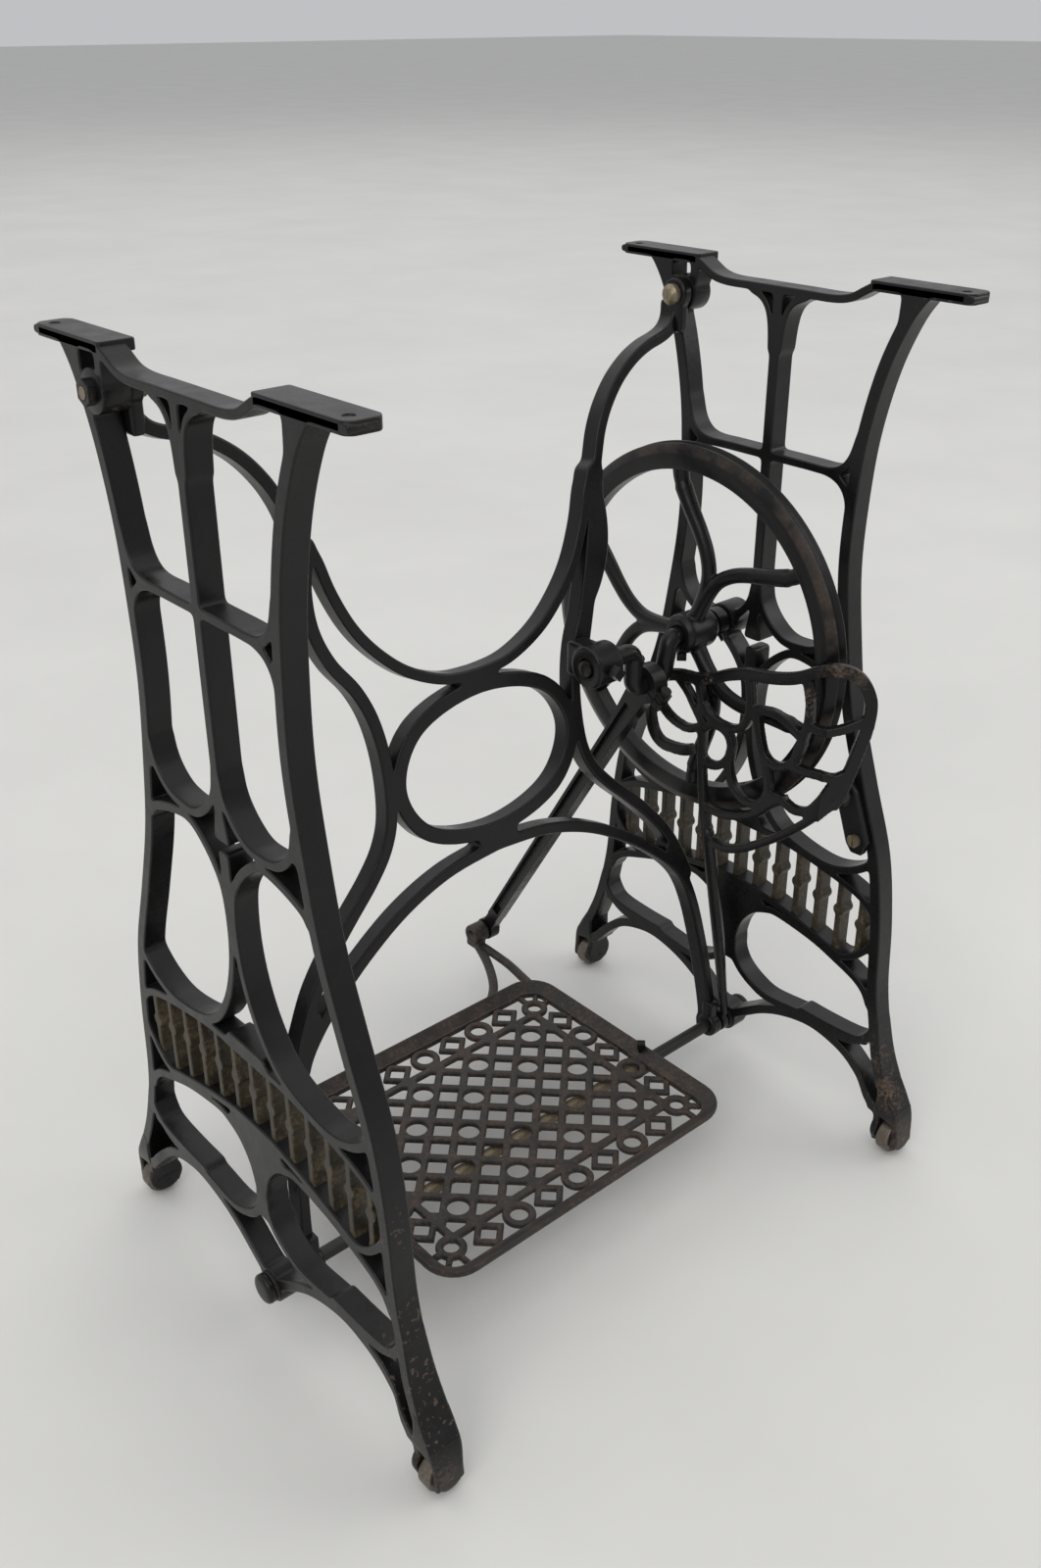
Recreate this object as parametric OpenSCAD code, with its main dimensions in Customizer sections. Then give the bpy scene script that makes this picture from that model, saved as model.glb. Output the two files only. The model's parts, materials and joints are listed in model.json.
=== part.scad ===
// Cast-iron treadle stand of a household sewing machine.
// Two pierced side castings, a back brace, a flywheel on a U-throw crank,
// a channel-section pitman, a pierced treadle, a dress guard and four casters.
// Millimetres, +Z up, +X towards the flywheel side, -Y towards the operator.

/* [Overall] */

// Centre distance of the two side castings
frame_pitch = 499; // [440:1:560]

// Thickness of the side lattice across the stand
frame_t = 18; // [12:0.5:22]

// Rib width of the legs, seen from the side
leg_w = 10; // [7:0.5:14]

// Rib width of the lattice curves
rib_w = 6.5; // [4:0.5:9]

/* [Top pads] */

// Height of the pad tops above the floor
pad_z = 712; // [680:1:760]

// Pad thickness
pad_t = 7; // [4:0.5:10]

// Pad width across the stand
pad_w = 24; // [18:1:30]

// Diameter of the table screw holes
pad_hole_d = 6.4; // [4:0.2:8]

// Distance of the screw holes from the mid plane, front and back
pad_hole_y = 152; // [120:1:158]

/* [Ornament band] */

// Number of spindles in the arched band
spindle_count = 13; // [9:2:19]

// Width of a spindle bar
spindle_w = 5.5; // [4:0.5:8]

// Diameter of the bead in the middle of a spindle
bead_d = 11; // [8:1:15]

/* [Back brace] */

// Depth of the back brace, front to back
brace_t = 16; // [12:0.5:20]

// Lean of the back brace, in degrees
tilt = 8.74; // [7.5:0.02:10]

/* [Flywheel and crank] */

// Outer diameter of the flywheel
wheel_d = 305; // [300:1:310]

// Radial height of the rim
rim_h = 20.5; // [18:0.5:26]

// Width of the rim across the stand
rim_w = 14.5; // [14:0.5:15.5]

// Left face of the rim
wheel_x = 191.5; // [188:0.5:193]

// Distance of the crank axis behind the mid plane of the side castings
axis_y = 30; // [20:1:40]

// Height of the crank axis
axis_z = 430; // [420:1:440]

// Diameter of the crank rod
shaft_d = 15; // [12:0.5:18]

// Throw of the crank
throw_r = 32; // [26:1:36]

/* [Pitman] */

// Centre plane of the pitman
pitman_x = 151; // [148:0.5:153]

// Lower joint behind the mid plane
joint_y = 235; // [215:1:245]

// Height of the lower joint
joint_z = 62; // [56:1:80]

/* [Treadle] */

// Length of the treadle across the stand
tread_l = 308; // [270:1:320]

// Depth of the treadle, front to back
tread_d = 252; // [220:1:262]

// Middle of the treadle across the stand
tread_x = -17.5; // [-26:0.5:-6]

// Middle of the treadle behind the mid plane
tread_y = 24; // [14:1:34]

// Underside of the treadle
tread_z = 46.5; // [45:0.5:60]

// Thickness of the treadle lattice
tread_t = 5.5; // [4:0.5:8]

// Rise of the dished rim above the lattice
tread_rise = 7; // [4:0.5:10]

// Pitch from ring to lozenge in the treadle field
tread_a = 31; // [27:0.5:34]

// Diameter of the treadle rod
rod_d = 11; // [9:0.5:14]

// Height of the treadle rod
rod_z = 40; // [36:0.5:44]

/* [Casters] */

// Diameter of a caster wheel
caster_d = 29; // [24:1:34]

// Width of a caster wheel
caster_w = 12; // [9:0.5:13]

// Distance of the caster centres from the mid plane
caster_y = 188; // [187.6:0.2:188.4]

/* [Hidden] */

$fn = 48;
fl = -frame_pitch / 2 - frame_t / 2;   // left face of the left casting
fr = frame_pitch / 2 - frame_t / 2;    // left face of the right casting
wheel_r = wheel_d / 2;
rod_r = rod_d / 2;
shaft_r = shaft_d / 2;
caster_r = caster_d / 2;
y_mid = 22.5;                            // footprint centre, behind the mid plane of the castings
run = 0.05;                             // radial running fit
iron = [0.09, 0.09, 0.10];
steel = [0.45, 0.44, 0.42];
brass = [0.62, 0.50, 0.30];

// ---------- curve helpers ----------

function cr(a, b, c, d, t) = 0.5 * ((2 * b) + (c - a) * t + (2 * a - 5 * b + 4 * c - d) * t * t
                             + (3 * b - a - 3 * c + d) * t * t * t);
// closed smooth loop through the points of P
function loop(P, n = 5) = let(m = len(P)) [for (i = [0:m - 1], k = [0:n - 1])
    cr(P[(i + m - 1) % m], P[i], P[(i + 1) % m], P[(i + 2) % m], k / n)];
// open smooth curve through the points of P
function path(P, n = 5) = let(m = len(P)) concat([for (i = [0:m - 2], k = [0:n - 1])
    cr(P[max(i - 1, 0)], P[i], P[i + 1], P[min(i + 2, m - 1)], k / n)], [P[m - 1]]);
function unit(v) = v / max(norm(v), 0.0001);
function nrm(C, i, closed) = let(m = len(C),
    a = closed ? C[(i + m - 1) % m] : C[max(i - 1, 0)],
    b = closed ? C[(i + 1) % m] : C[min(i + 1, m - 1)], t = unit(b - a)) [-t[1], t[0]];
function side(C, d, closed) = [for (i = [0:len(C) - 1]) C[i] + d * nrm(C, i, closed)];
function rev(L) = [for (i = [len(L) - 1:-1:0]) L[i]];
function flip(P) = [for (p = P) [-p[0], p[1]]];

// open ribbon of width w along P
module ribbon(P, w, n = 5) {
    C = path(P, n);
    polygon(concat(side(C, w / 2, false), rev(side(C, -w / 2, false))));
}
// closed ribbon of width w along P
module ring_ribbon(P, w, n = 5) {
    C = loop(P, n);
    difference() {
        polygon(side(C, -w / 2, true));
        polygon(side(C, w / 2, true));
    }
}
module both() { children(); mirror([1, 0]) children(); }
// the mid plane of the side castings lies y_mid behind the centre of the footprint
module place() { translate([0, -y_mid, 0]) children(); }
// a shape drawn in (y, z), extruded from x = x0 over h
module slab(x0, h) { translate([x0, 0, 0]) rotate([90, 0, 90]) linear_extrude(height = h) children(); }
module rod_x(x0, x1, r) { translate([x0, 0, 0]) rotate([0, 90, 0]) cylinder(r = r, h = x1 - x0); }
module rod_y(y0, y1, r) { translate([0, y0, 0]) rotate([-90, 0, 0]) cylinder(r = r, h = y1 - y0); }
module hexa(r, h) { cylinder(r = r, h = h, $fn = 6); }

// ---------- side casting, drawn in (y, z), back half ----------

leg = [[126, 708], [113, 689], [98, 652], [87, 602], [83, 550], [83, 500], [90, 446],
       [101, 388], [121, 328], [141, 272], [151, 212], [156, 150], [167, 98], [177, 70], [188.5, 46], [192, 36]];
cross_top = [[85, 604], [80, 587], [72, 577], [60, 573], [40, 573], [20, 573], [0, 573]];
cross_corner = [[56, 573], [69, 569], [78, 560], [83, 545]];
u_rib = [[84, 462], [82, 451], [76, 440], [63, 430], [46, 427], [31, 428], [17, 437], [7, 449], [2, 462]];
lobe3 = [[98, 403], [84, 412], [60, 419], [41, 420], [26, 411], [13, 397], [5, 380], [3, 350],
         [7, 320], [17, 292], [33, 268], [50, 256], [74, 249], [100, 247], [122, 254], [138, 266], [143, 275]];
band = [[0, 252], [30, 252], [60, 250], [100, 243], [130, 235], [147, 224], [152, 211], [150, 196],
        [141, 183], [130, 173], [118, 169], [100, 174], [60, 184], [25, 190], [0, 191]];
lobe4 = [[155, 134], [149, 146], [138, 155], [118, 163], [90, 172], [52, 178], [38, 176], [22, 168],
         [10, 153], [5, 138], [3, 124], [7, 111], [14, 101], [28, 92], [48, 86], [80, 89], [100, 90],
         [120, 89], [138, 91], [152, 99], [162, 112]];
arch = [[176, 41], [168, 47], [155, 62], [136, 77], [111, 85], [90, 86], [64, 80], [42, 70], [22, 56], [6, 45]];
dip = [[86, 709], [76, 704], [65, 698], [50, 695.5], [25, 695.5], [0, 695.5]];
flare = [[27, 693], [16, 689], [9, 681], [5.5, 668], [4, 650]];
bridge = [[168, 37], [197, 37], [197, 46], [190, 46], [183, 44], [176, 45], [168, 50]];
tongue = [[187, 48], [194.7, 33], [194.7, 5], [201, 5], [201, 14], [200, 24], [196.8, 34], [193, 48]];

function bell(y, a, b) = a + (b - a) * pow(y / 150, 2);

module side_half() {
    ribbon(leg, leg_w);
    ribbon(cross_top, rib_w);
    ribbon(cross_corner, rib_w);
    ribbon(u_rib, rib_w);
    ribbon(lobe3, rib_w + 0.5);
    ribbon(band, rib_w);
    ribbon(lobe4, rib_w + 0.5);
    ribbon(arch, 8.5);
    ribbon(dip, 6);
    ribbon(flare, 5);
    // pad edge, solid web under it and the thick foot of the lobe
    translate([82, pad_z - pad_t]) square([82, pad_t]);
    polygon([[106, 680], [118, 690], [128, 706], [107, 706]]);
    ribbon([[84, 93], [110, 93], [140, 95], [158, 100]], 7);
    polygon([[98, 408], [93, 412], [85, 414], [91, 400]]);
    polygon([[84, 464], [77, 446], [86, 440], [90, 450]]);
    // the bridge above the caster
    polygon(bridge);
}

module side_lattice() {
    both() side_half();
    polygon([[80, 690], [88, 688], [88, 708], [80, 708]]);
    // centre bar, meeting knots and the rod boss
    translate([-4.5, 455]) square([9, 240]);
    translate([-5, 335]) square([10, 52]);
    polygon([[-9, 445], [9, 445], [5, 470], [-5, 470]]);
    polygon([[-9, 420], [9, 420], [7, 432], [4, 447], [-4, 447], [-7, 432]]);
    translate([0, 398]) square([12, 30], center = true);
    polygon([[-30, 248], [30, 248], [22, 262], [-22, 262]]);
    polygon([[-26, 194], [26, 194], [40, 174], [-40, 174]]);
    polygon([[-30, 186], [30, 186], [12, 158], [4, 130], [-4, 130], [-12, 158]]);
    polygon([[-8, 130], [8, 130], [8, 106], [-8, 106]]);
    translate([0, rod_z]) circle(r = 14);
}

// arched row of turned spindles, the ornament of the band
module spindles() {
    intersection() {
        polygon(concat(loop(concat(band, rev([for (i = [1:len(band) - 2]) [-band[i][0], band[i][1]]])), 3)));
        for (i = [0:spindle_count - 1]) {
            y = (i - (spindle_count - 1) / 2) * 270 / (spindle_count - 1);
            zc = bell(abs(y), 221, 203);
            translate([y, zc]) {
                square([spindle_w, 80], center = true);
                circle(d = bead_d);
            }
        }
    }
}

module side_frame(x0, bearing) {
    xm = x0 + frame_t / 2;
    place() color(iron) difference() {
        union() {
            slab(x0, frame_t) side_lattice();
            slab(x0 + 2, frame_t - 4) spindles();
            // raised rod boss
            translate([0, 0, rod_z]) rod_x(x0 - 2.5, x0 + frame_t + 2.5, 12);
            // bolt bosses of the back brace
            translate([0, 95, 682]) rod_x(x0, x0 + frame_t, 14);
            // journal boss of the crank
            if (bearing) translate([0, axis_y, axis_z]) rod_x(x0 - 5, x0 + frame_t + 1, 14);
            // table pads
            for (s = [0, 1]) mirror([0, s, 0]) translate([x0, 0, pad_z - pad_t])
                linear_extrude(height = pad_t)
                    polygon([[0, 82], [pad_w, 82], [pad_w, 158], [pad_w - 4, 163], [4, 163], [0, 159]]);
            // flared feet and caster cheeks
            for (s = [0, 1]) mirror([0, s, 0]) {
                intersection() {
                    translate([xm, 230, 0]) rotate([90, 0, 0]) linear_extrude(height = 90) {
                        polygon([[-9, 125], [9, 125], [11, 90], [12.5, 60], [12.5, 42], [11.5, 24], [11.5, 16.5],
                                 [-11.5, 16.5], [-11.5, 24], [-12.5, 42], [-12.5, 60], [-11, 90]]);
                        translate([0, 16.5]) circle(r = 11.5);
                    }
                    slab(xm - 16, 32) {
                        ribbon([[156, 150], [167, 98], [177, 70], [188.5, 46], [192, 36]], leg_w);
                        polygon(bridge);
                        polygon(tongue);
                    }
                }
                // inner cheek, a disc on a short neck
                translate([xm, 0, 20.5]) rod_y(175.3, 181.3, 14.5);
                translate([xm - 11.5, 175.3, 20.5]) cube([23, 6, 17.5]);
            }
        }
        // holes for rod, brace bolts, table screws, caster pins and crank journal
        translate([0, 0, rod_z]) rod_x(x0 - 10, x0 + 30, rod_r + run);
        translate([0, 95, 682]) rod_x(x0 - 10, x0 + 30, 4.2);
        for (s = [-1, 1]) translate([xm, s * pad_hole_y, 690]) cylinder(d = pad_hole_d, h = 40);
        for (s = [0, 1]) mirror([0, s, 0]) translate([xm, 0, caster_r]) rod_y(165, 220, 2.6);
        if (bearing) translate([0, axis_y, axis_z]) rod_x(x0 - 10, x0 + 30, shaft_r + run);
    }
}
module left_side_frame() { side_frame(fl, false); }
module right_side_frame() { side_frame(fr, true); }

// ---------- back brace, drawn in (x, height along the slope), right half ----------

ring_c = [[86, 378], [62, 420], [0, 436], [-62, 420], [-85, 378], [-62, 336], [0, 320], [62, 336]];
yoke = [[0, 446], [30, 449], [62, 463], [86, 483], [104, 506], [117, 534], [124, 558], [130, 570]];
upper_arm = [[134, 566], [139, 584], [144, 600], [153, 617], [167, 634], [184, 647], [201, 655], [216, 659], [227, 664], [234, 673], [236, 686]];
side_arm = [[131, 566], [137, 540], [136, 512], [126, 486], [109, 462], [98, 435], [93, 400], [95, 362],
            [104, 338], [120, 318], [140, 299], [160, 279], [182, 252], [198, 222]];
low_arch = [[0, 306], [50, 301], [95, 286], [135, 263], [165, 240], [186, 220], [200, 200], [210, 170],
            [217, 130], [221, 96], [223.5, 66], [224, 46]];

module brace_half() {
    ribbon(yoke, 8.5);
    ribbon(upper_arm, 9);
    ribbon(side_arm, 10);
    ribbon(low_arch, 9.5);
    translate([133, 568]) circle(r = 9.5);
    ribbon([[184, 240], [196, 222], [203, 198]], 14);
}
// to the sloping plane of the brace: local z becomes the depth towards the back
module on_slope() { translate([0, -3, 45]) rotate([-tilt, 0, 0]) translate([0, 0, -45]) rotate([90, 0, 0]) children(); }

module back_brace() {
    place() color(iron) difference() {
        union() {
            on_slope() translate([0, 0, -brace_t]) linear_extrude(height = brace_t) {
                both() brace_half();
                ring_ribbon(ring_c, 12);
                translate([0, 441]) square([34, 9], center = true);
                translate([0, 313]) square([38, 9], center = true);
                // broad upright that carries the crank bearing
                ribbon([[134, 566], [130, 536], [122, 500], [112, 464], [104, 436], [100, 414]], 15);
            }
            // bearing of the crank, carried in front of the ring
            translate([0, axis_y, axis_z]) rod_x(81.5, 107.5, 17);
            translate([85.5, axis_y - 4, axis_z - 15]) cube([19, 34, 30]);
            // upturned lugs at the back legs
            for (s = [0, 1]) mirror([s, 0, 0]) {
                translate([0, 95, 682]) rod_x(230.5, 240.4, 12);
                translate([230.5, 88, 652]) cube([9.9, 15, 30]);
            }
            // eyes on the treadle rod
            for (s = [0, 1]) mirror([s, 0, 0]) {
                translate([0, 0, rod_z]) rod_x(216, 228, 11);
                translate([217, -6, rod_z]) cube([10, 12, 24]);
            }
        }
        translate([0, 0, rod_z]) rod_x(-250, 250, rod_r + run);
        translate([93.5, 0, axis_z]) rod_y(0, axis_y - 9, 3.4);
        translate([0, axis_y, axis_z]) rod_x(70, 130, shaft_r + run);
        for (s = [0, 1]) mirror([s, 0, 0]) translate([0, 95, 682]) rod_x(222, 250, 4.2);
    }
}

module brace_bolts() {
    place() color(brass) for (s = [0, 1]) mirror([s, 0, 0]) translate([0, 95, 682]) {
        rod_x(226, 265, 4);
        intersection() {
            rod_x(223.5, 230.4, 8);
            translate([232.5, 0, 0]) sphere(r = 10);
        }
    }
}

module brace_nuts() {
    place() color(iron) for (s = [0, 1]) mirror([s, 0, 0]) translate([258.6, 95, 682]) rotate([0, 90, 0])
        difference() {
            hexa(8.5, 6);
            translate([0, 0, -1]) cylinder(r = 4, h = 8);
        }
}

module brace_set_screw() {
    place() color(steel) translate([93.5, axis_y - 26, axis_z]) rotate([-90, 0, 0]) {
        cylinder(r = 6, h = 7, $fn = 4);
        cylinder(r = 3.4, h = 17);
    }
}

// ---------- treadle rod ----------

module treadle_rod() {
    place() color(steel) translate([0, 0, rod_z]) rod_x(-266, 266, rod_r);
}

module rod_nuts() {
    place() color(iron) for (s = [0, 1]) mirror([s, 0, 0]) translate([261.2, 0, rod_z]) rotate([0, 90, 0])
        difference() {
            cylinder(r = 11.8, h = 6.3);
            translate([0, 0, -1]) cylinder(r = rod_r, h = 5.8);
        }
}

// ---------- crankshaft: straight journals and a U-throw ----------

// U-throw: webs a little slimmer than the journals, each leg runs past its corner
throw_pts = [[79.5, 0], [134, 0], [134, -throw_r], [168, -throw_r], [175, 0], [262, 0]];

module crankshaft() {
    place() color(steel) translate([0, axis_y, axis_z]) for (i = [0:4]) {
        a = throw_pts[i];
        v = throw_pts[i + 1] - a;
        e0 = i == 0 ? 0 : 5.5;
        e1 = i == 4 ? 0 : 5.5;
        translate([a[0], 0, a[1]]) rotate([0, -atan2(v[1], v[0]), 0]) translate([-e0, 0, 0]) rotate([0, 90, 0])
            cylinder(r = i % 2 == 0 ? shaft_r : shaft_r - 0.4, h = norm(v) + e0 + e1);
    }
}

module axle_collar() {
    place() color(iron) translate([0, axis_y, axis_z]) difference() {
        union() {
            rod_x(223, 233, 12);
            translate([228, 0, 0]) rotate([45, 0, 0]) translate([0, -17, 0]) rod_y(0, 10, 3.2);
        }
        rod_x(220, 240, shaft_r);
    }
}

// ---------- flywheel ----------

// one branch of a forked spoke, drawn with the stem along +x
function polar(r, a) = [r * cos(a), r * sin(a)];
branch = [polar(14, 0), polar(34, 1), polar(54, 5), polar(70, 12), polar(84, 19), polar(98, 25),
          polar(112, 29), polar(124, 31), polar(138, 31)];

module flywheel() {
    place() color(iron) translate([wheel_x, axis_y, axis_z]) rotate([0, 90, 0]) difference() {
        union() {
            // narrow rim, bevelled on the inboard face, with a shallow belt groove
            rotate_extrude($fn = 160) polygon([
                [wheel_r - rim_h, 1.5], [wheel_r - rim_h + 1.5, 0], [wheel_r - 8, 0], [wheel_r - 0.5, 4],
                [wheel_r - 0.5, 5.5], [wheel_r - 4, 8], [wheel_r - 5, 9], [wheel_r - 4, 10], [wheel_r, 12],
                [wheel_r, rim_w - 1], [wheel_r - 2, rim_w], [wheel_r - rim_h + 1.5, rim_w], [wheel_r - rim_h, rim_w - 1.5]]);
            // three forked spokes
            translate([0, 0, rim_w / 2 - 5.5]) linear_extrude(height = 11)
                for (k = [0:2]) rotate(203 + k * 120) {
                    ribbon(branch, 13);
                    mirror([0, 1]) ribbon(branch, 13);
                    translate([12, -8]) square([40, 16]);
                }
            // hub with a step
            translate([0, 0, -6]) cylinder(r = 16.5, h = rim_w + 16);
            translate([0, 0, -8]) cylinder(r = 14, h = rim_w + 22);
        }
        translate([0, 0, -30]) cylinder(r = shaft_r, h = 80);
        translate([0, 0, -1.5]) rotate([0, 90, 0]) cylinder(r = 3.5, h = 40);
    }
}

module flywheel_set_screw() {
    place() color(steel) translate([wheel_x - 1.5, axis_y, axis_z]) rotate([180, 0, 0]) difference() {
        union() {
            translate([0, 0, shaft_r + 0.2]) cylinder(r = 3.5, h = 12);
            translate([0, 0, 17]) cylinder(r = 5.5, h = 5.5, $fn = 4);
        }
        translate([0, 0, -1]) cylinder(r = 0.5, h = 2);
    }
}

// ---------- pitman ----------

pit_v = [joint_y - axis_y, joint_z - (axis_z - throw_r)];
pit_l = norm(pit_v);
pit_a = atan2(pit_v[0], -pit_v[1]);

// local frame of the pitman: origin on the crank pin, -Z towards the treadle
module on_pitman() {
    translate([pitman_x, axis_y, axis_z - throw_r]) rotate([pit_a, 0, 0]) children();
}

module pitman() {
    place() color(iron) on_pitman() difference() {
        union() {
            rod_x(-7, 7, 16);
            // tapering channel bar
            translate([-6.5, 0, 0]) rotate([90, 0, 90]) linear_extrude(height = 13)
                polygon([[-11, -8], [11, -8], [7.5, -60], [6.5, 24 - pit_l], [-6.5, 24 - pit_l], [-7.5, -60]]);
            translate([-5, -8, -34]) cube([10, 16, 20]);
            translate([0, 0, -pit_l]) rod_x(-5.5, 5.5, 11);
            translate([-5.5, -6.5, -pit_l]) cube([11, 13, 30]);
            // split cap ears
            for (s = [-1, 1]) translate([-5.5, s * 17 - 5.5, -7]) cube([11, 11, 14]);
        }
        // bearing of the crank pin
        rod_x(-20, 20, shaft_r + run);
        // grooves of the channel
        for (s = [0, 1]) mirror([s, 0, 0]) translate([2, -4, 34 - pit_l]) cube([10, 8, pit_l - 62]);
        // split of the cap, ear holes
        for (s = [-1, 1]) {
            translate([-10, s * 18 - 10, -0.5]) cube([20, 20, 1]);
            translate([0, s * 18, -20]) cylinder(r = 2.5, h = 40);
        }
        translate([0, 0, -pit_l]) rod_x(-10, 10, 4.5);
    }
}

module pitman_cap_screws() {
    place() color(steel) on_pitman() for (s = [-1, 1]) translate([0, s * 18, 0]) {
        translate([0, 0, -11]) cylinder(r = 2.5, h = 20);
        translate([0, 0, 7]) cylinder(r = 4.6, h = 4);
        translate([0, 0, -11]) hexa(4.8, 4);
    }
}

module treadle_joint_pin() {
    place() color(steel) on_pitman() translate([0, 0, -pit_l]) {
        rod_x(-6.2, 8.5, 4.5);
        rod_x(5.6, 8.5, 7.5);
    }
}

// ---------- treadle ----------

tl = tread_l / 2;
td = tread_d / 2;

module ring2(r, w) { difference() { circle(r = r, $fn = 28); circle(r = r - w, $fn = 28); } }
module lozenge(r, w) { rotate(45) difference() { square(r * 1.414, center = true); square((r - w) * 1.414, center = true); } }

in_x = tl - 12;      // half size inside the dished rim
in_y = td - 12;
cor_r = 17;          // inner corner radius of the rim
fx = 3.76 * tread_a; // half size of the inner field
fy = 2.71 * tread_a;

// section of the dished rim, u outwards from the inner edge
rim_sec = [[-1.5, 0], [1, 0], [11.2, tread_rise], [12, tread_rise + 2.5], [11.4, tread_t + tread_rise - 0.6],
           [10.2, tread_t + tread_rise], [8.8, tread_t + tread_rise - 0.8], [0, tread_t], [-1.5, tread_t]];

module rim_bar(len) { rotate([90, 0, 90]) linear_extrude(height = len, center = true) polygon(rim_sec); }

module tread_rim() {
    for (s = [0, 1]) mirror([0, s, 0]) translate([0, in_y, 0]) rim_bar(2 * (in_x - cor_r));
    for (s = [0, 1]) mirror([s, 0, 0]) translate([in_x, 0, 0]) rotate([0, 0, -90]) rim_bar(2 * (in_y - cor_r));
    for (i = [0, 1], j = [0, 1]) mirror([i, 0, 0]) mirror([0, j, 0])
        translate([in_x - cor_r, in_y - cor_r, 0])
            rotate_extrude(angle = 90, $fn = 48) translate([cor_r, 0]) polygon(rim_sec);
}

module rings_at(r) {
    for (i = [-3, -1, 1, 3], j = [-2, 0, 2]) translate([i * tread_a, j * tread_a]) circle(r = r, $fn = 32);
    for (i = [-2, 0, 2], j = [-1, 1]) translate([i * tread_a, j * tread_a]) circle(r = r, $fn = 32);
}

module tread_lattice() {
    difference() {
        union() {
            rings_at(14);
            intersection() {
                square([2 * fx, 2 * fy], center = true);
                for (s = [-1, 1], k = [-8:7]) rotate(s * 45)
                    translate([-260, (k + 0.5) * tread_a * 0.7071 - 3.5]) square([520, 7]);
            }
        }
        rings_at(8.8);
    }
}

module tread_border() {
    bx = (fx + in_x) / 2;
    by = (fy + in_y) / 2;
    for (s = [-1, 1], i = [-3:3]) translate([i * tread_a, s * by])
        if (i % 2 != 0) lozenge(15.8, 7.5); else ring2(13.4, 6.2);
    for (s = [-1, 1], i = [-2:2]) translate([s * bx, i * tread_a])
        if (i % 2 == 0) lozenge(15.8, 7.5); else ring2(13.4, 6.2);
    for (s = [-1, 1], t = [-1, 1]) translate([s * (bx - 6), t * (by - 8)]) {
        ring2(12.2, 6.2);
        rotate(atan2(t, s)) translate([9, -2.5]) square([20, 5]);
        rotate(atan2(t, 0)) translate([9, -2.5]) square([14, 5]);
        rotate(atan2(0, s)) translate([9, -2.5]) square([14, 5]);
    }
}

// the treadle is one casting, kept as four touching solids: pierced plate, dished rim, arms and lugs
module on_tread() { translate([tread_x, tread_y, tread_z]) children(); }

module inner_field() {
    e = 1.5;
    square([2 * (in_x - e), 2 * (in_y - cor_r)], center = true);
    square([2 * (in_x - cor_r), 2 * (in_y - e)], center = true);
    for (i = [-1, 1], j = [-1, 1]) translate([i * (in_x - cor_r), j * (in_y - cor_r)]) circle(r = cor_r - e);
}

module treadle_plate() {
    place() color(iron) on_tread() {
        linear_extrude(height = tread_t) difference() {
            square([2 * fx + 7, 2 * fy + 7], center = true);
            square([2 * fx - 7, 2 * fy - 7], center = true);
        }
        linear_extrude(height = tread_t - 1) intersection() {
            inner_field();
            union() { tread_lattice(); tread_border(); }
        }
    }
}

module treadle_rim() {
    place() color(iron) difference() {
        on_tread() tread_rim();
        for (s = [-1, 1]) translate([tread_x + s * (tl - 6), 0, rod_z]) cylinder(r = 2.6, h = 40);
    }
}

// pair of arms to the pitman joint
module treadle_arms() {
    place() color(iron) difference() {
        union() {
            translate([0, 0, tread_z]) linear_extrude(height = 8) intersection() {
                translate([0, tread_y + in_y + 4.2]) square([200, 200]);
                union() {
                    ribbon([[126, 138], [130, 160], [134, 185], [135, 210], [135, 235]], 9);
                    ribbon([[62, 138], [84, 152], [102, 170], [120, 200], [134, 233]], 9);
                }
            }
            translate([0, joint_y, joint_z]) rod_x(128, 144.1, 10);
            translate([128, joint_y - 9, tread_z]) cube([13.4, 18, joint_z - tread_z]);
        }
        on_tread() tread_rim();
    }
}

// lugs that turn on the rod, each with a hole for its set screw
module treadle_lugs() {
    place() color(iron) for (s = [0, 1]) translate([tread_x, 0, 0]) mirror([s, 0, 0]) difference() {
        union() {
            translate([tl - 15, 0, rod_z]) rod_x(0, 18, 10);
            translate([tl - 15, -9, rod_z]) cube([18, 18, tread_z - rod_z]);
            translate([in_x + 1, -9, rod_z]) cube([14, 18, tread_z - rod_z + 4.5]);
        }
        translate([0, tread_y, tread_z]) tread_rim();
        translate([0, 0, rod_z]) rod_x(100, 200, rod_r + run);
        translate([tl - 6, 0, rod_z]) cylinder(r = 2.6, h = 40);
        // clear of the pierced plate
        translate([100, -30, tread_z]) cube([in_x - 101.5, 60, 20]);
    }
}

module treadle_lug_screws() {
    place() color(steel) for (s = [-1, 1]) translate([tread_x + s * (tl - 6), 0, 0]) {
        translate([0, 0, rod_z + rod_r + 0.4]) cylinder(r = 2.6, h = 18);
        translate([0, 0, rod_z + rod_r + 14]) cylinder(r = 5, h = 5, $fn = 4);
    }
}

// ---------- dress guard, drawn along its plan line and height ----------

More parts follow.
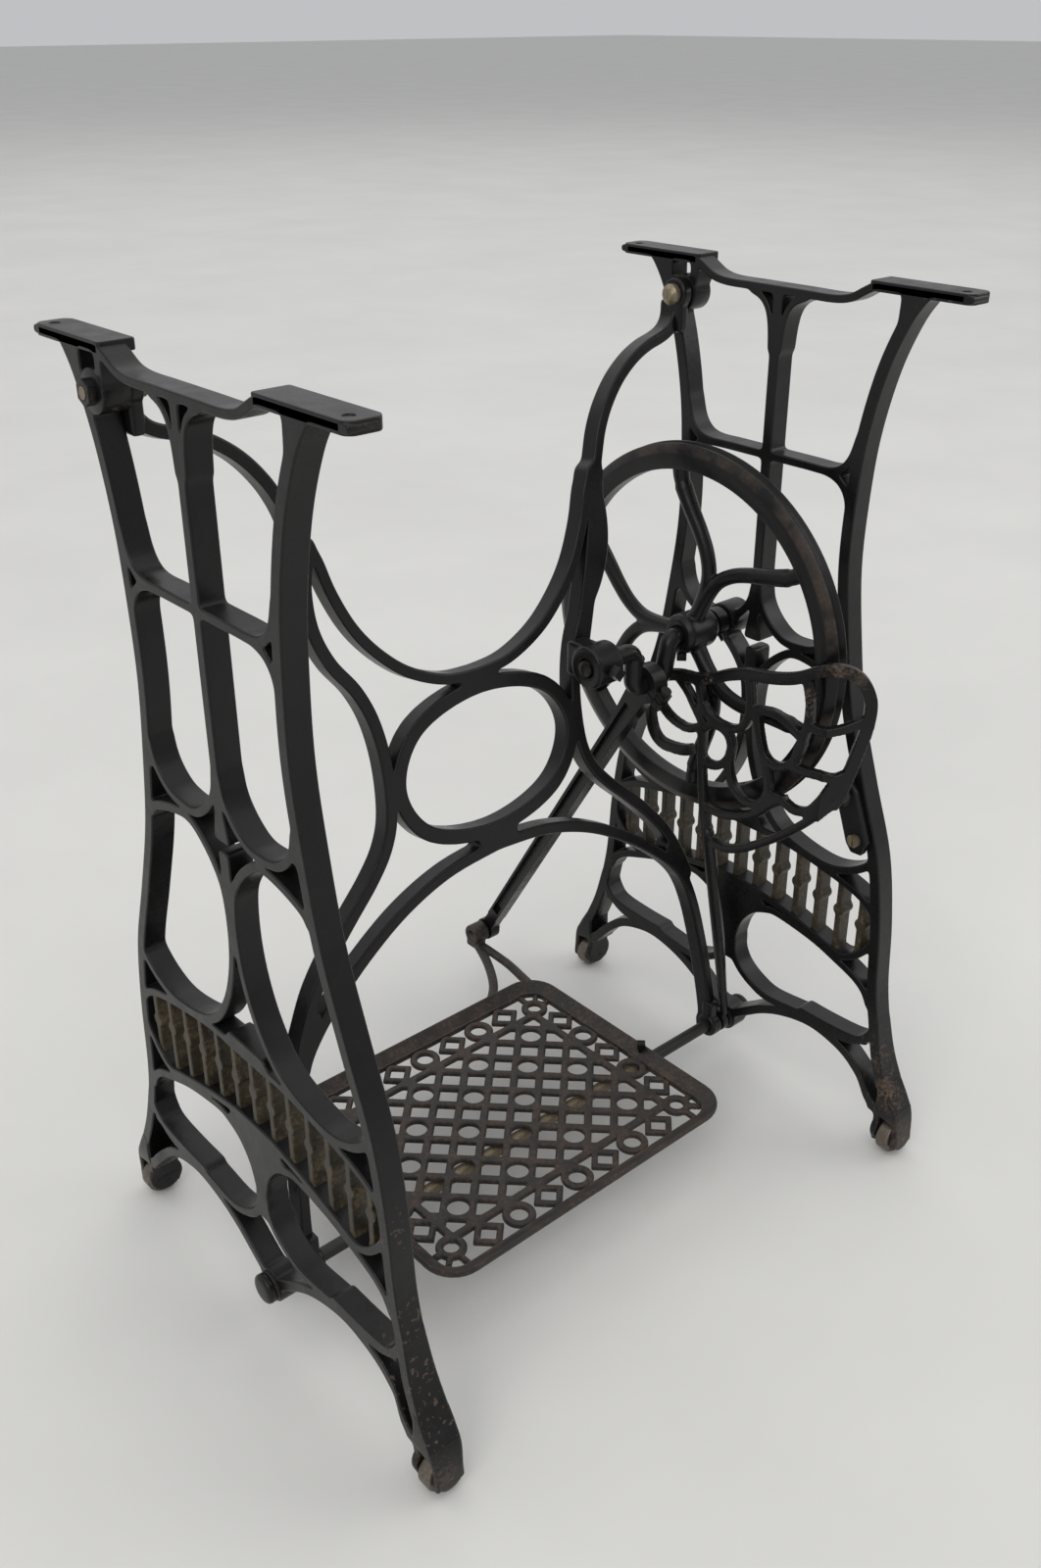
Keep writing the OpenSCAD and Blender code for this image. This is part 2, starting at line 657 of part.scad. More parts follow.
g_rim = [[4, 338], [14, 334], [26, 332], [38, 332], [47, 338], [52, 350], [54, 366], [50, 381], [40, 392],
         [22, 399], [2, 402], [-14, 408], [-30, 416], [-50, 423], [-72, 427], [-94, 434], [-112, 444],
         [-126, 451], [-139, 450], [-150, 442], [-157, 426], [-156, 405], [-151, 384], [-146, 364],
         [-141, 348], [-136, 338]];
g_ribs = [
    [[2, 404], [-4, 380], [-6, 350], [-8, 320], [-12, 290], [-18, 262]],
    [[50, 380], [42, 368], [32, 360], [20, 356], [8, 356], [-4, 362]],
    [[22, 396], [12, 388], [4, 378], [-4, 368]],
    [[-50, 422], [-53, 405], [-53, 390], [-48, 378], [-38, 372], [-26, 371], [-14, 374], [-6, 382]],
    [[-4, 338], [-14, 332], [-26, 335], [-35, 345], [-37, 358], [-31, 367], [-18, 369], [-8, 362]],
    [[-53, 398], [-60, 392], [-64, 378], [-70, 362], [-80, 356], [-92, 359], [-102, 370], [-107, 386]],
    [[-60, 396], [-76, 399], [-92, 396], [-106, 388]],
    [[-104, 440], [-110, 420], [-110, 402], [-106, 386], [-102, 372], [-98, 360]],
    [[-108, 402], [-120, 400], [-131, 402], [-141, 405], [-154, 412]],
    [[-98, 362], [-112, 362], [-126, 364], [-137, 363], [-147, 368]],
    [[-37, 350], [-36, 338], [-42, 322], [-56, 314], [-70, 318], [-77, 330], [-76, 344], [-70, 362]],
    [[-77, 330], [-90, 330], [-104, 326], [-117, 330], [-127, 342], [-136, 358]],
    [[-12, 292], [-30, 292], [-50, 298], [-68, 308], [-82, 322], [-96, 332]],
    [[-16, 264], [-36, 262], [-56, 270], [-76, 284], [-96, 300], [-113, 316], [-126, 330], [-136, 340]]];
g_x = 181;      // centre plane of the straight part
g_bend = -128;    // start of the part that turns round the rim
g_t = 7;

module guard_pattern() {
    ribbon(g_rim, 9.5);
    for (P = g_ribs) ribbon(P, 7);
}

module dress_guard() {
    place() color(iron) difference() {
        union() {
            slab(g_x - g_t / 2, g_t) intersection() {
                guard_pattern();
                translate([g_bend, 200]) square([260, 300]);
            }
            translate([g_x, g_bend, 0]) rotate([0, 0, 45]) translate([-g_x, -g_bend, 0])
                slab(g_x - g_t / 2, g_t) intersection() {
                    guard_pattern();
                    translate([g_bend - 100, 200]) square([101.5, 300]);
                }
            // arm and plate on the front leg
            hull() {
                translate([g_x + 6, -134, 344]) sphere(r = 4.5, $fn = 24);
                translate([231, -112, 324]) sphere(r = 4.5, $fn = 24);
            }
            hull() {
                translate([231, -112, 324]) sphere(r = 4.5, $fn = 24);
                translate([236, -113, 316]) sphere(r = 3.9, $fn = 24);
            }
            slab(233.4, 7) polygon([[-103, 334], [-114, 338], [-122, 328], [-138, 288], [-134, 276], [-124, 275], [-118, 282], [-102, 324]]);
            // rear post down to the treadle rod
            hull() {
                translate([g_x, -18, 268]) sphere(r = 5.5, $fn = 24);
                translate([g_x + 27, -15, 150]) sphere(r = 5.5, $fn = 24);
            }
            hull() {
                translate([g_x + 27, -15, 150]) sphere(r = 5.5, $fn = 24);
                translate([233.6, -7, rod_z + 11]) sphere(r = 3.6, $fn = 24);
            }
            translate([0, 0, rod_z]) rod_x(230, 237.4, 11);
        }
        translate([0, 0, rod_z]) rod_x(215, 250, rod_r + run);
        for (p = [[-112, 323], [-127, 288]]) translate([0, p[0], p[1]]) rod_x(228, 248, 2.8);
    }
}

module guard_screws() {
    place() color(brass) for (p = [[-112, 323], [-127, 288]]) translate([0, p[0], p[1]]) {
        rod_x(231.5, 240.4, 2.8);
        difference() {
            rod_x(230.1, 233.3, 5.5);
            translate([228.5, -0.6, -8]) cube([2.6, 1.2, 16]);
        }
    }
}

// ---------- casters ----------

module caster(sx, sy) {
    place() color(steel) translate([sx * frame_pitch / 2, sy * caster_y, caster_r]) rotate([90, 0, 0])
        rotate_extrude($fn = 48) polygon([[2.65, -caster_w / 2], [caster_r - 1, -caster_w / 2], [caster_r, 1 - caster_w / 2],
            [caster_r, caster_w / 2 - 1], [caster_r - 1, caster_w / 2], [2.65, caster_w / 2]]);
}
module caster_wheel_front_left() { caster(-1, -1); }
module caster_wheel_back_left() { caster(-1, 1); }
module caster_wheel_front_right() { caster(1, -1); }
module caster_wheel_back_right() { caster(1, 1); }

module caster_pins() {
    place() color(steel) for (i = [-1, 1], s = [0, 1]) mirror([0, s, 0])
        translate([i * frame_pitch / 2, 0, caster_r]) rod_y(175.3, 201, 2.6);
}

left_side_frame();
right_side_frame();
back_brace();
brace_bolts();
brace_nuts();
brace_set_screw();
treadle_rod();
rod_nuts();
dress_guard();
guard_screws();
axle_collar();
crankshaft();
flywheel();
flywheel_set_screw();
pitman();
pitman_cap_screws();
treadle_plate();
treadle_rim();
treadle_arms();
treadle_lugs();
treadle_lug_screws();
treadle_joint_pin();
caster_wheel_front_left();
caster_wheel_back_left();
caster_wheel_front_right();
caster_wheel_back_right();
caster_pins();
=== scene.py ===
import json
import math
import bpy
import bmesh
import numpy as np
from mathutils import Matrix, Vector
from mathutils.geometry import delaunay_2d_cdt


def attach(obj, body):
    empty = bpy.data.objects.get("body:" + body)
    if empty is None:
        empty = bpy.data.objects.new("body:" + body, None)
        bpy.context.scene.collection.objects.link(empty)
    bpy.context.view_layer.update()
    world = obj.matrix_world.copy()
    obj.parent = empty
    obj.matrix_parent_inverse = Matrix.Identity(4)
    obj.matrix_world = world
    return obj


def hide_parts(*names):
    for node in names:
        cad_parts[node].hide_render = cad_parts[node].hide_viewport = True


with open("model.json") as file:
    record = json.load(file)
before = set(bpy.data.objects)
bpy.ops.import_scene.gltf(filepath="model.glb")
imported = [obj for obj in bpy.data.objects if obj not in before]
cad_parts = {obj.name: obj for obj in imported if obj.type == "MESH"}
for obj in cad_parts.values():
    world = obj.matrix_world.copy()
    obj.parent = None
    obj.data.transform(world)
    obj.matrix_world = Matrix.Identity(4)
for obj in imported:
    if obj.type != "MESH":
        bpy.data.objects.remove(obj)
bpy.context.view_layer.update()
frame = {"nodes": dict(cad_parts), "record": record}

N = frame["nodes"]
BODY = {n: b for b, ns in frame["record"]["behaviour"]["bodies"].items() for n in ns}
YM = -22.5          # mid plane of the side castings, mm
MM = 0.001
RX = Vector((1, 0, 0))
RY = Vector((0, 1, 0))
RZ = Vector((0, 0, 1))


# ------------------------------------------------------------------ curves
def cr(a, b, c, d, t):
    return 0.5 * ((2 * b) + (c - a) * t + (2 * a - 5 * b + 4 * c - d) * t * t
                  + (3 * b - a - 3 * c + d) * t ** 3)


def smooth_path(P, n=6):
    P = [np.array(p, float) for p in P]
    out = []
    for i in range(len(P) - 1):
        a, b, c, d = P[max(i - 1, 0)], P[i], P[i + 1], P[min(i + 2, len(P) - 1)]
        out += [cr(a, b, c, d, k / n) for k in range(n)]
    return out + [P[-1]]


def filleted(P, r, n=6):
    """Polyline in space with its inner corners rounded to radius r."""
    P = [Vector(p) for p in P]
    out = [P[0]]
    for i in range(1, len(P) - 1):
        a = (P[i - 1] - P[i]).normalized()
        b = (P[i + 1] - P[i]).normalized()
        ang = math.acos(max(-1, min(1, a.dot(b))))
        if ang > math.pi - 1e-3:
            continue
        t = r / math.tan(ang / 2)
        c = P[i] + (a + b).normalized() * (r / math.sin(ang / 2))
        s, e = P[i] + a * t - c, P[i] + b * t - c
        w = math.pi - ang
        for k in range(n + 1):
            q = k / n
            v = (s * math.sin((1 - q) * w) + e * math.sin(q * w)) / math.sin(w)
            out.append(c + v)
    return out + [P[-1]]


def round_profile(P, r, n=3):
    """Closed 2D outline with every corner rounded, r in the same unit."""
    P = [np.array(p, float) for p in P]
    out = []
    m = len(P)
    for i in range(m):
        p, a, b = P[i], P[i - 1], P[(i + 1) % m]
        la, lb = np.linalg.norm(a - p), np.linalg.norm(b - p)
        t = min(r, la * 0.45, lb * 0.45)
        s, e = p + (a - p) / la * t, p + (b - p) / lb * t
        for k in range(n + 1):
            q = k / n
            out.append((1 - q) ** 2 * s + 2 * q * (1 - q) * p + q * q * e)
    return out


def section(node, co, no, u, v):
    """Closed outlines of a CAD node cut by a plane, in mm along u and v from the row frame's origin."""
    bm = bmesh.new()
    bm.from_mesh(N[node].data)
    bmesh.ops.remove_doubles(bm, verts=bm.verts, dist=3e-6)
    r = bmesh.ops.bisect_plane(bm, geom=bm.verts[:] + bm.edges[:] + bm.faces[:], dist=1e-8,
                               plane_co=co, plane_no=no)
    nxt = {}
    for e in r["geom_cut"]:
        if isinstance(e, bmesh.types.BMEdge):
            a, b = e.verts
            nxt.setdefault(a, []).append(b)
            nxt.setdefault(b, []).append(a)
    loops = []
    used = set()
    for s in sorted(nxt, key=lambda w: w.index):
        while True:
            free = [t for t in nxt[s] if frozenset((s, t)) not in used]
            if not free:
                break
            loop, cur, prev = [s], free[0], s
            used.add(frozenset((s, cur)))
            while cur != s:
                loop.append(cur)
                free = [t for t in nxt[cur] if frozenset((cur, t)) not in used]
                if not free:
                    break
                prev, cur = cur, free[0]
                used.add(frozenset((prev, cur)))
            if len(loop) > 5:
                loops.append(np.array([((w.co.dot(u)) * 1000, (w.co.dot(v)) * 1000) for w in loop]))
    bm.free()
    return loops


def area(P):
    x, y = P[:, 0], P[:, 1]
    return 0.5 * float(np.sum(x * np.roll(y, -1) - y * np.roll(x, -1)))


def inside(p, P):
    x, y = P[:, 0], P[:, 1]
    x2, y2 = np.roll(x, -1), np.roll(y, -1)
    c = (y > p[1]) != (y2 > p[1])
    with np.errstate(divide="ignore", invalid="ignore"):
        xx = (x2 - x) * (p[1] - y) / (y2 - y) + x
    return int(np.sum(c & (p[0] < xx))) % 2 == 1


def tidy(P, step, soft, tol=0.012, longest=7.0):
    """Even steps, softened corners, then points that the shape doesn't need are dropped."""
    d = np.linalg.norm(np.roll(P, -1, 0) - P, axis=1)
    L = d.sum()
    n = max(12, int(round(L / step)))
    s = np.concatenate([[0], np.cumsum(d)])
    t = np.linspace(0, L, n, endpoint=False)
    Q = np.stack([np.interp(t, s, np.append(P[:, k], P[0, k])) for k in (0, 1)], 1)
    for _ in range(soft):
        Q = Q + 0.5 * ((np.roll(Q, 1, 0) + np.roll(Q, -1, 0)) / 2 - Q)
    for _ in range(3):
        m = len(Q)
        if m < 24:
            break
        a, b = np.roll(Q, 1, 0), np.roll(Q, -1, 0)
        ab = b - a
        ln = np.linalg.norm(ab, axis=1) + 1e-9
        dev = np.abs(ab[:, 0] * (Q - a)[:, 1] - ab[:, 1] * (Q - a)[:, 0]) / ln
        keep = np.ones(m, bool)
        for i in range(1, m - 1, 2):
            if dev[i] < tol and ln[i] < longest:
                keep[i] = False
        Q = Q[keep]
    return Q


def oriented(loops):
    out = []
    for i, P in enumerate(loops):
        depth = sum(inside(P[0], Q) for j, Q in enumerate(loops) if j != i)
        ccw = area(P) > 0
        out.append(P if ccw == (depth % 2 == 0) else P[::-1])
    return out


def mitred(P):
    a = P - np.roll(P, 1, 0)
    b = np.roll(P, -1, 0) - P
    a = a / (np.linalg.norm(a, axis=1)[:, None] + 1e-12)
    b = b / (np.linalg.norm(b, axis=1)[:, None] + 1e-12)
    na = np.stack([-a[:, 1], a[:, 0]], 1)
    nb = np.stack([-b[:, 1], b[:, 0]], 1)
    s = na + nb
    k = 1 + np.sum(na * nb, 1)
    m = s / np.maximum(k, 0.5)[:, None]
    unit = s / (np.linalg.norm(s, axis=1)[:, None] + 1e-12)
    return m, unit


# ------------------------------------------------------------------ meshes
def add(name, verts, faces, normals=None, angle=None, body=None, node=None, mats=None):
    me = bpy.data.meshes.new(name)
    me.from_pydata([tuple(v) for v in verts], [], faces)
    me.validate()
    bm = bmesh.new()
    bm.from_mesh(me)
    bmesh.ops.recalc_face_normals(bm, faces=bm.faces)
    bm.to_mesh(me)
    bm.free()
    for p in me.polygons:
        p.use_smooth = True
    if normals is not None and len(normals) == len(me.vertices):
        me.normals_split_custom_set_from_vertices([tuple(n) for n in normals])
    elif angle:
        me.set_sharp_from_angle(angle=math.radians(angle))
    o = bpy.data.objects.new(name, me)
    bpy.context.scene.collection.objects.link(o)
    if mats:
        me.materials.append(mats)
    if node:
        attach(o, BODY[node])
        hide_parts(node)
    elif body:
        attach(o, body)
    return o


def plate(name, loops, put, d0, d1, r, seg=3, warp=None, **kw):
    """Plate with rounded edges from outlines, between depths d0 and d1. put(a, b, d) gives the point in mm."""
    loops = oriented(loops)
    rings = []
    for k in range(seg + 1):
        f = math.pi / 2 * k / seg
        rings.append((r * (1 - math.sin(f)), d0 + r * (1 - math.cos(f)), math.sin(f), -math.cos(f)))
    rings += [(e, d0 + d1 - d, s, -c) for e, d, s, c in rings[::-1]]
    o = Vector(put(0, 0, 0))
    eu, ev, ed = (Vector(put(1, 0, 0)) - o), (Vector(put(0, 1, 0)) - o), (Vector(put(0, 0, 1)) - o)
    eu.normalize(), ev.normalize(), ed.normalize()
    verts, norms, faces = [], [], []
    cap2d, capid = [], []
    starts = []
    for P in loops:
        m, un = mitred(P)
        starts.append(len(verts))
        base = len(verts)
        n = len(P)
        for e, d, s, c in rings:
            Q = P + m * e
            for q, w in zip(Q, un):
                verts.append(put(q[0], q[1], d))
                norms.append((eu * (-w[0] * s) + ev * (-w[1] * s) + ed * c).normalized())
        for j in range(len(rings) - 1):
            for i in range(n):
                i2 = (i + 1) % n
                faces.append((base + j * n + i, base + j * n + i2, base + (j + 1) * n + i2, base + (j + 1) * n + i))
        Q = P + m * r
        off = len(cap2d)
        cap2d += [Vector((float(x), float(y))) for x, y in Q]
        capid += [(base + i, base + (len(rings) - 1) * n + i) for i in range(n)]
    edges = []
    k = 0
    for P in loops:
        n = len(P)
        edges += [(k + i, k + (i + 1) % n) for i in range(n)]
        k += n
    cv, ce, cf, ov, oe, of_ = delaunay_2d_cdt(cap2d, edges, [], 1, 1e-6)
    # keep the triangles that lie on the material
    C2 = np.array([tuple(v) for v in cv])
    T3 = np.array([tuple(f) for f in cf if len(f) == 3])
    G3 = C2[T3].mean(1)
    A2 = np.array([tuple(v) for v in cap2d])
    E2 = np.array(edges)
    p0, p1 = A2[E2[:, 0]], A2[E2[:, 1]]
    odd = np.zeros(len(G3), bool)
    for lo in range(0, len(G3), 1500):
        g = G3[lo:lo + 1500]
        hit = (p0[None, :, 1] > g[:, 1, None]) != (p1[None, :, 1] > g[:, 1, None])
        with np.errstate(divide="ignore", invalid="ignore"):
            xx = (p1[:, 0] - p0[:, 0])[None] * (g[:, 1, None] - p0[None, :, 1]) / (p1[:, 1] - p0[:, 1])[None] + p0[None, :, 0]
        odd[lo:lo + 1500] = (hit & (g[:, 0, None] < xx)).sum(1) % 2 == 1
    cf = [tuple(int(i) for i in t) for t, k in zip(T3, odd) if k]
    ids = []
    for i, src in enumerate(ov):
        if src:
            ids.append(capid[src[0]])
        else:
            b = len(verts)
            verts.append(put(cv[i][0], cv[i][1], d0))
            norms.append(-ed)
            verts.append(put(cv[i][0], cv[i][1], d1))
            norms.append(ed)
            ids.append((b, b + 1))
    for f in cf:
        faces.append(tuple(ids[i][0] for i in f))
        faces.append(tuple(ids[i][1] for i in f))
    V = np.array([tuple(v) for v in verts], float)
    if warp:
        V = warp(V)
    return add(name, V * MM, faces, normals=norms, **kw)


def grid_mesh(rings, closed_u=True, cap=True, base=0):
    """Vertices and quads of stacked rings of equal length; ends closed by fans."""
    n = len(rings[0])
    verts = [v for ring in rings for v in ring]
    faces = []
    for j in range(len(rings) - 1):
        for i in range(n):
            i2 = (i + 1) % n
            faces.append((j * n + i, j * n + i2, (j + 1) * n + i2, (j + 1) * n + i))
    if cap:
        faces.append(tuple(range(n))[::-1])
        faces.append(tuple((len(rings) - 1) * n + i for i in range(n)))
    return verts, faces


def merge(parts):
    V, F = [], []
    for v, f in parts:
        b = len(V)
        V += [tuple(x) for x in v]
        F += [tuple(i + b for i in q) for q in f]
    return V, F


def sweep(P, rad, seg=16, wide=1.0, tall=1.0, up=None, cap=2):
    """Round or oval bar along P, radius rad(t) or a number, in mm. Ends are domed."""
    P = [Vector(p) for p in P]
    n = len(P)
    T = [(P[min(i + 1, n - 1)] - P[max(i - 1, 0)]).normalized() for i in range(n)]
    u = up.copy() if up else (RZ if abs(T[0].z) < 0.9 else RX)
    u = (u - T[0] * u.dot(T[0])).normalized()
    L = [0]
    for i in range(1, n):
        L.append(L[-1] + (P[i] - P[i - 1]).length)
    rings = []

    def ring(c, t, uu, r):
        w = t.cross(uu)
        return [c + uu * (r * tall * math.cos(a)) + w * (r * wide * math.sin(a))
                for a in (2 * math.pi * k / seg for k in range(seg))]
    rr = [rad(L[i] / L[-1]) if callable(rad) else rad for i in range(n)]
    frames = []
    for i in range(n):
        u = (u - T[i] * u.dot(T[i])).normalized()
        frames.append(u.copy())
    if cap:
        for k in (1, 2):
            q = math.radians(90 - 30 * k)
            rings.append(ring(P[0] + T[0] * (rr[0] * 0.35 * (1 - math.sin(q))), T[0], frames[0], rr[0] * math.cos(q) * 0.98))
    rings += [ring(P[i], T[i], frames[i], rr[i]) for i in range(1 if cap else 0, n - (1 if cap else 0))]
    if cap:
        for k in (2, 1):
            q = math.radians(90 - 30 * k)
            rings.append(ring(P[-1] - T[-1] * (rr[-1] * 0.35 * (1 - math.sin(q))), T[-1], frames[-1], rr[-1] * math.cos(q) * 0.98))
    return grid_mesh(rings)


def axes_for(axis):
    a = Vector(axis).normalized()
    u = (RZ if abs(a.z) < 0.9 else RX)
    u = (u - a * u.dot(a)).normalized()
    return a, u, a.cross(u)


def lathe(prof, origin, axis, seg=48):
    """Closed turned shape: prof is (along, radius) from one end of the axis to the other, in mm; with a
    bore the profile is a closed outline."""
    a, u, w = axes_for(axis)
    o = Vector(origin)
    closed = prof[0][1] > 1e-6 and prof[-1][1] > 1e-6
    rings = []
    for s, r in prof:
        rings.append([o + a * float(s) + (u * math.cos(t) + w * math.sin(t)) * float(max(r, 0.001))
                      for t in (2 * math.pi * k / seg for k in range(seg))])
    if closed:
        rings.append(rings[0])
    v, f = grid_mesh(rings, cap=not closed)
    return v, f


def disc(l0, l1, r, origin, axis, e=0.8, bore=0.0, seg=48, step=None):
    """Turned disc or boss with softened rims."""
    c = [(l0, bore), (l0, r - e), (l0 + e * 0.3, r - e * 0.3), (l0 + e, r), (l1 - e, r), (l1 - e * 0.3, r - e * 0.3),
         (l1, r - e), (l1, bore)]
    if bore:
        c[0] = (l0, bore + e * 0.5)
        c.insert(0, (l0 + e * 0.5, bore))
        c[-1] = (l1, bore + e * 0.5)
        c.append((l1 - e * 0.5, bore))
    return lathe(c, origin, axis, seg)


def block(c, h, e=1.0, R=None):
    """Box with rounded edges, centre c and half sizes h in mm."""
    bm = bmesh.new()
    bmesh.ops.create_cube(bm, size=2.0)
    for v in bm.verts:
        v.co = Vector((v.co.x * h[0], v.co.y * h[1], v.co.z * h[2]))
    bmesh.ops.bevel(bm, geom=bm.edges[:] + bm.verts[:], offset=e, segments=3, profile=0.5, affect='EDGES')
    M = Matrix.Translation(Vector(c)) @ (R.to_4x4() if R else Matrix.Identity(4))
    v = [M @ x.co for x in bm.verts]
    f = [tuple(q.index for q in p.verts) for p in bm.faces]
    bm.verts.index_update()
    f = [tuple(q.index for q in p.verts) for p in bm.faces]
    bm.free()
    return v, f


def solid(name, parts, angle=38, **kw):
    V, F = merge(parts)
    return add(name, [Vector(v) * MM for v in V], F, angle=angle, **kw)


def remeshed(name, parts, voxel, soft, src=None, factor=0.5, **kw):
    """Overlapping closed shapes melted into one casting with small fillets."""
    if src is not None:
        me = src.data.copy()
        bm = bmesh.new()
        bm.from_mesh(me)
        bmesh.ops.remove_doubles(bm, verts=bm.verts, dist=3e-6)
        bm.to_mesh(me)
        bm.free()
    else:
        V, F = merge(parts)
        me = bpy.data.meshes.new(name + "_src")
        me.from_pydata([tuple(Vector(v) * MM) for v in V], [], F)
        bm = bmesh.new()
        bm.from_mesh(me)
        bmesh.ops.recalc_face_normals(bm, faces=bm.faces)
        bm.to_mesh(me)
        bm.free()
    if src is not None and parts:
        V, F = merge(parts)
        bm = bmesh.new()
        bm.from_mesh(me)
        vs = [bm.verts.new(tuple(Vector(v) * MM)) for v in V]
        for f in F:
            bm.faces.new([vs[i] for i in f])
        bm.to_mesh(me)
        bm.free()
    tmp = bpy.data.objects.new(name + "_tmp", me)
    bpy.context.scene.collection.objects.link(tmp)
    m = tmp.modifiers.new("r", "REMESH")
    m.mode = 'VOXEL'
    m.voxel_size = voxel * MM
    m.adaptivity = 0.0
    s = tmp.modifiers.new("s", "SMOOTH")
    s.factor = factor
    s.iterations = soft
    dg = bpy.context.evaluated_depsgraph_get()
    out = bpy.data.meshes.new_from_object(tmp.evaluated_get(dg))
    out.name = name
    bpy.data.objects.remove(tmp)
    bpy.data.meshes.remove(me)
    for p in out.polygons:
        p.use_smooth = True
    o = bpy.data.objects.new(name, out)
    bpy.context.scene.collection.objects.link(o)
    out.materials.clear()
    if kw.get("mats"):
        out.materials.append(kw["mats"])
    node = kw.get("node")
    if node:
        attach(o, BODY[node])
        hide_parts(node)
    return o


# ------------------------------------------------------------------ materials
class G:
    def __init__(self, name):
        self.m = bpy.data.materials.new(name)
        self.m.use_nodes = True
        self.t = self.m.node_tree
        self.t.nodes.clear()
        self.out = self.n("ShaderNodeOutputMaterial")
        self.b = self.n("ShaderNodeBsdfPrincipled")
        self.t.links.new(self.b.outputs[0], self.out.inputs[0])
        self.co = self.n("ShaderNodeTexCoord").outputs["Object"]

    def n(self, kind, **kw):
        x = self.t.nodes.new(kind)
        for k, v in kw.items():
            setattr(x, k, v)
        return x

    def put(self, sock, v):
        if isinstance(v, bpy.types.NodeSocket):
            self.t.links.new(v, sock)
        else:
            sock.default_value = v

    def math(self, op, a, b=0.0, clamp=False):
        x = self.n("ShaderNodeMath", operation=op, use_clamp=clamp)
        self.put(x.inputs[0], a)
        self.put(x.inputs[1], b)
        return x.outputs[0]

    def noise(self, scale, detail=3.0, rough=0.55, co=None, dist=0.0):
        x = self.n("ShaderNodeTexNoise")
        self.put(x.inputs["Vector"], co or self.co)
        x.inputs["Scale"].default_value = scale
        x.inputs["Detail"].default_value = detail
        x.inputs["Roughness"].default_value = rough
        x.inputs["Distortion"].default_value = dist
        return x.outputs[0]

    def rng(self, v, a, b, c=0.0, d=1.0, kind="LINEAR"):
        x = self.n("ShaderNodeMapRange", interpolation_type=kind)
        self.put(x.inputs[0], v)
        for i, q in enumerate((a, b, c, d)):
            x.inputs[1 + i].default_value = q
        return x.outputs[0]

    def mix(self, f, a, b):
        x = self.n("ShaderNodeMix", data_type="RGBA")
        self.put(x.inputs["Factor"], f)
        self.put(x.inputs[6], a if isinstance(a, bpy.types.NodeSocket) else (*a, 1.0))
        self.put(x.inputs[7], b if isinstance(b, bpy.types.NodeSocket) else (*b, 1.0))
        return x.outputs[2]

    def near(self, p, r0, r1):
        x = self.n("ShaderNodeVectorMath", operation="DISTANCE")
        self.put(x.inputs[0], self.co)
        x.inputs[1].default_value = p
        return self.rng(x.outputs["Value"], r0, r1, 1.0, 0.0, "SMOOTHSTEP")

    def bump(self, h, dist, strength=1.0, normal=None):
        x = self.n("ShaderNodeBump")
        x.inputs["Strength"].default_value = strength
        x.inputs["Distance"].default_value = dist
        self.put(x.inputs["Height"], h)
        if normal is not None:
            self.put(x.inputs["Normal"], normal)
        return x.outputs[0]


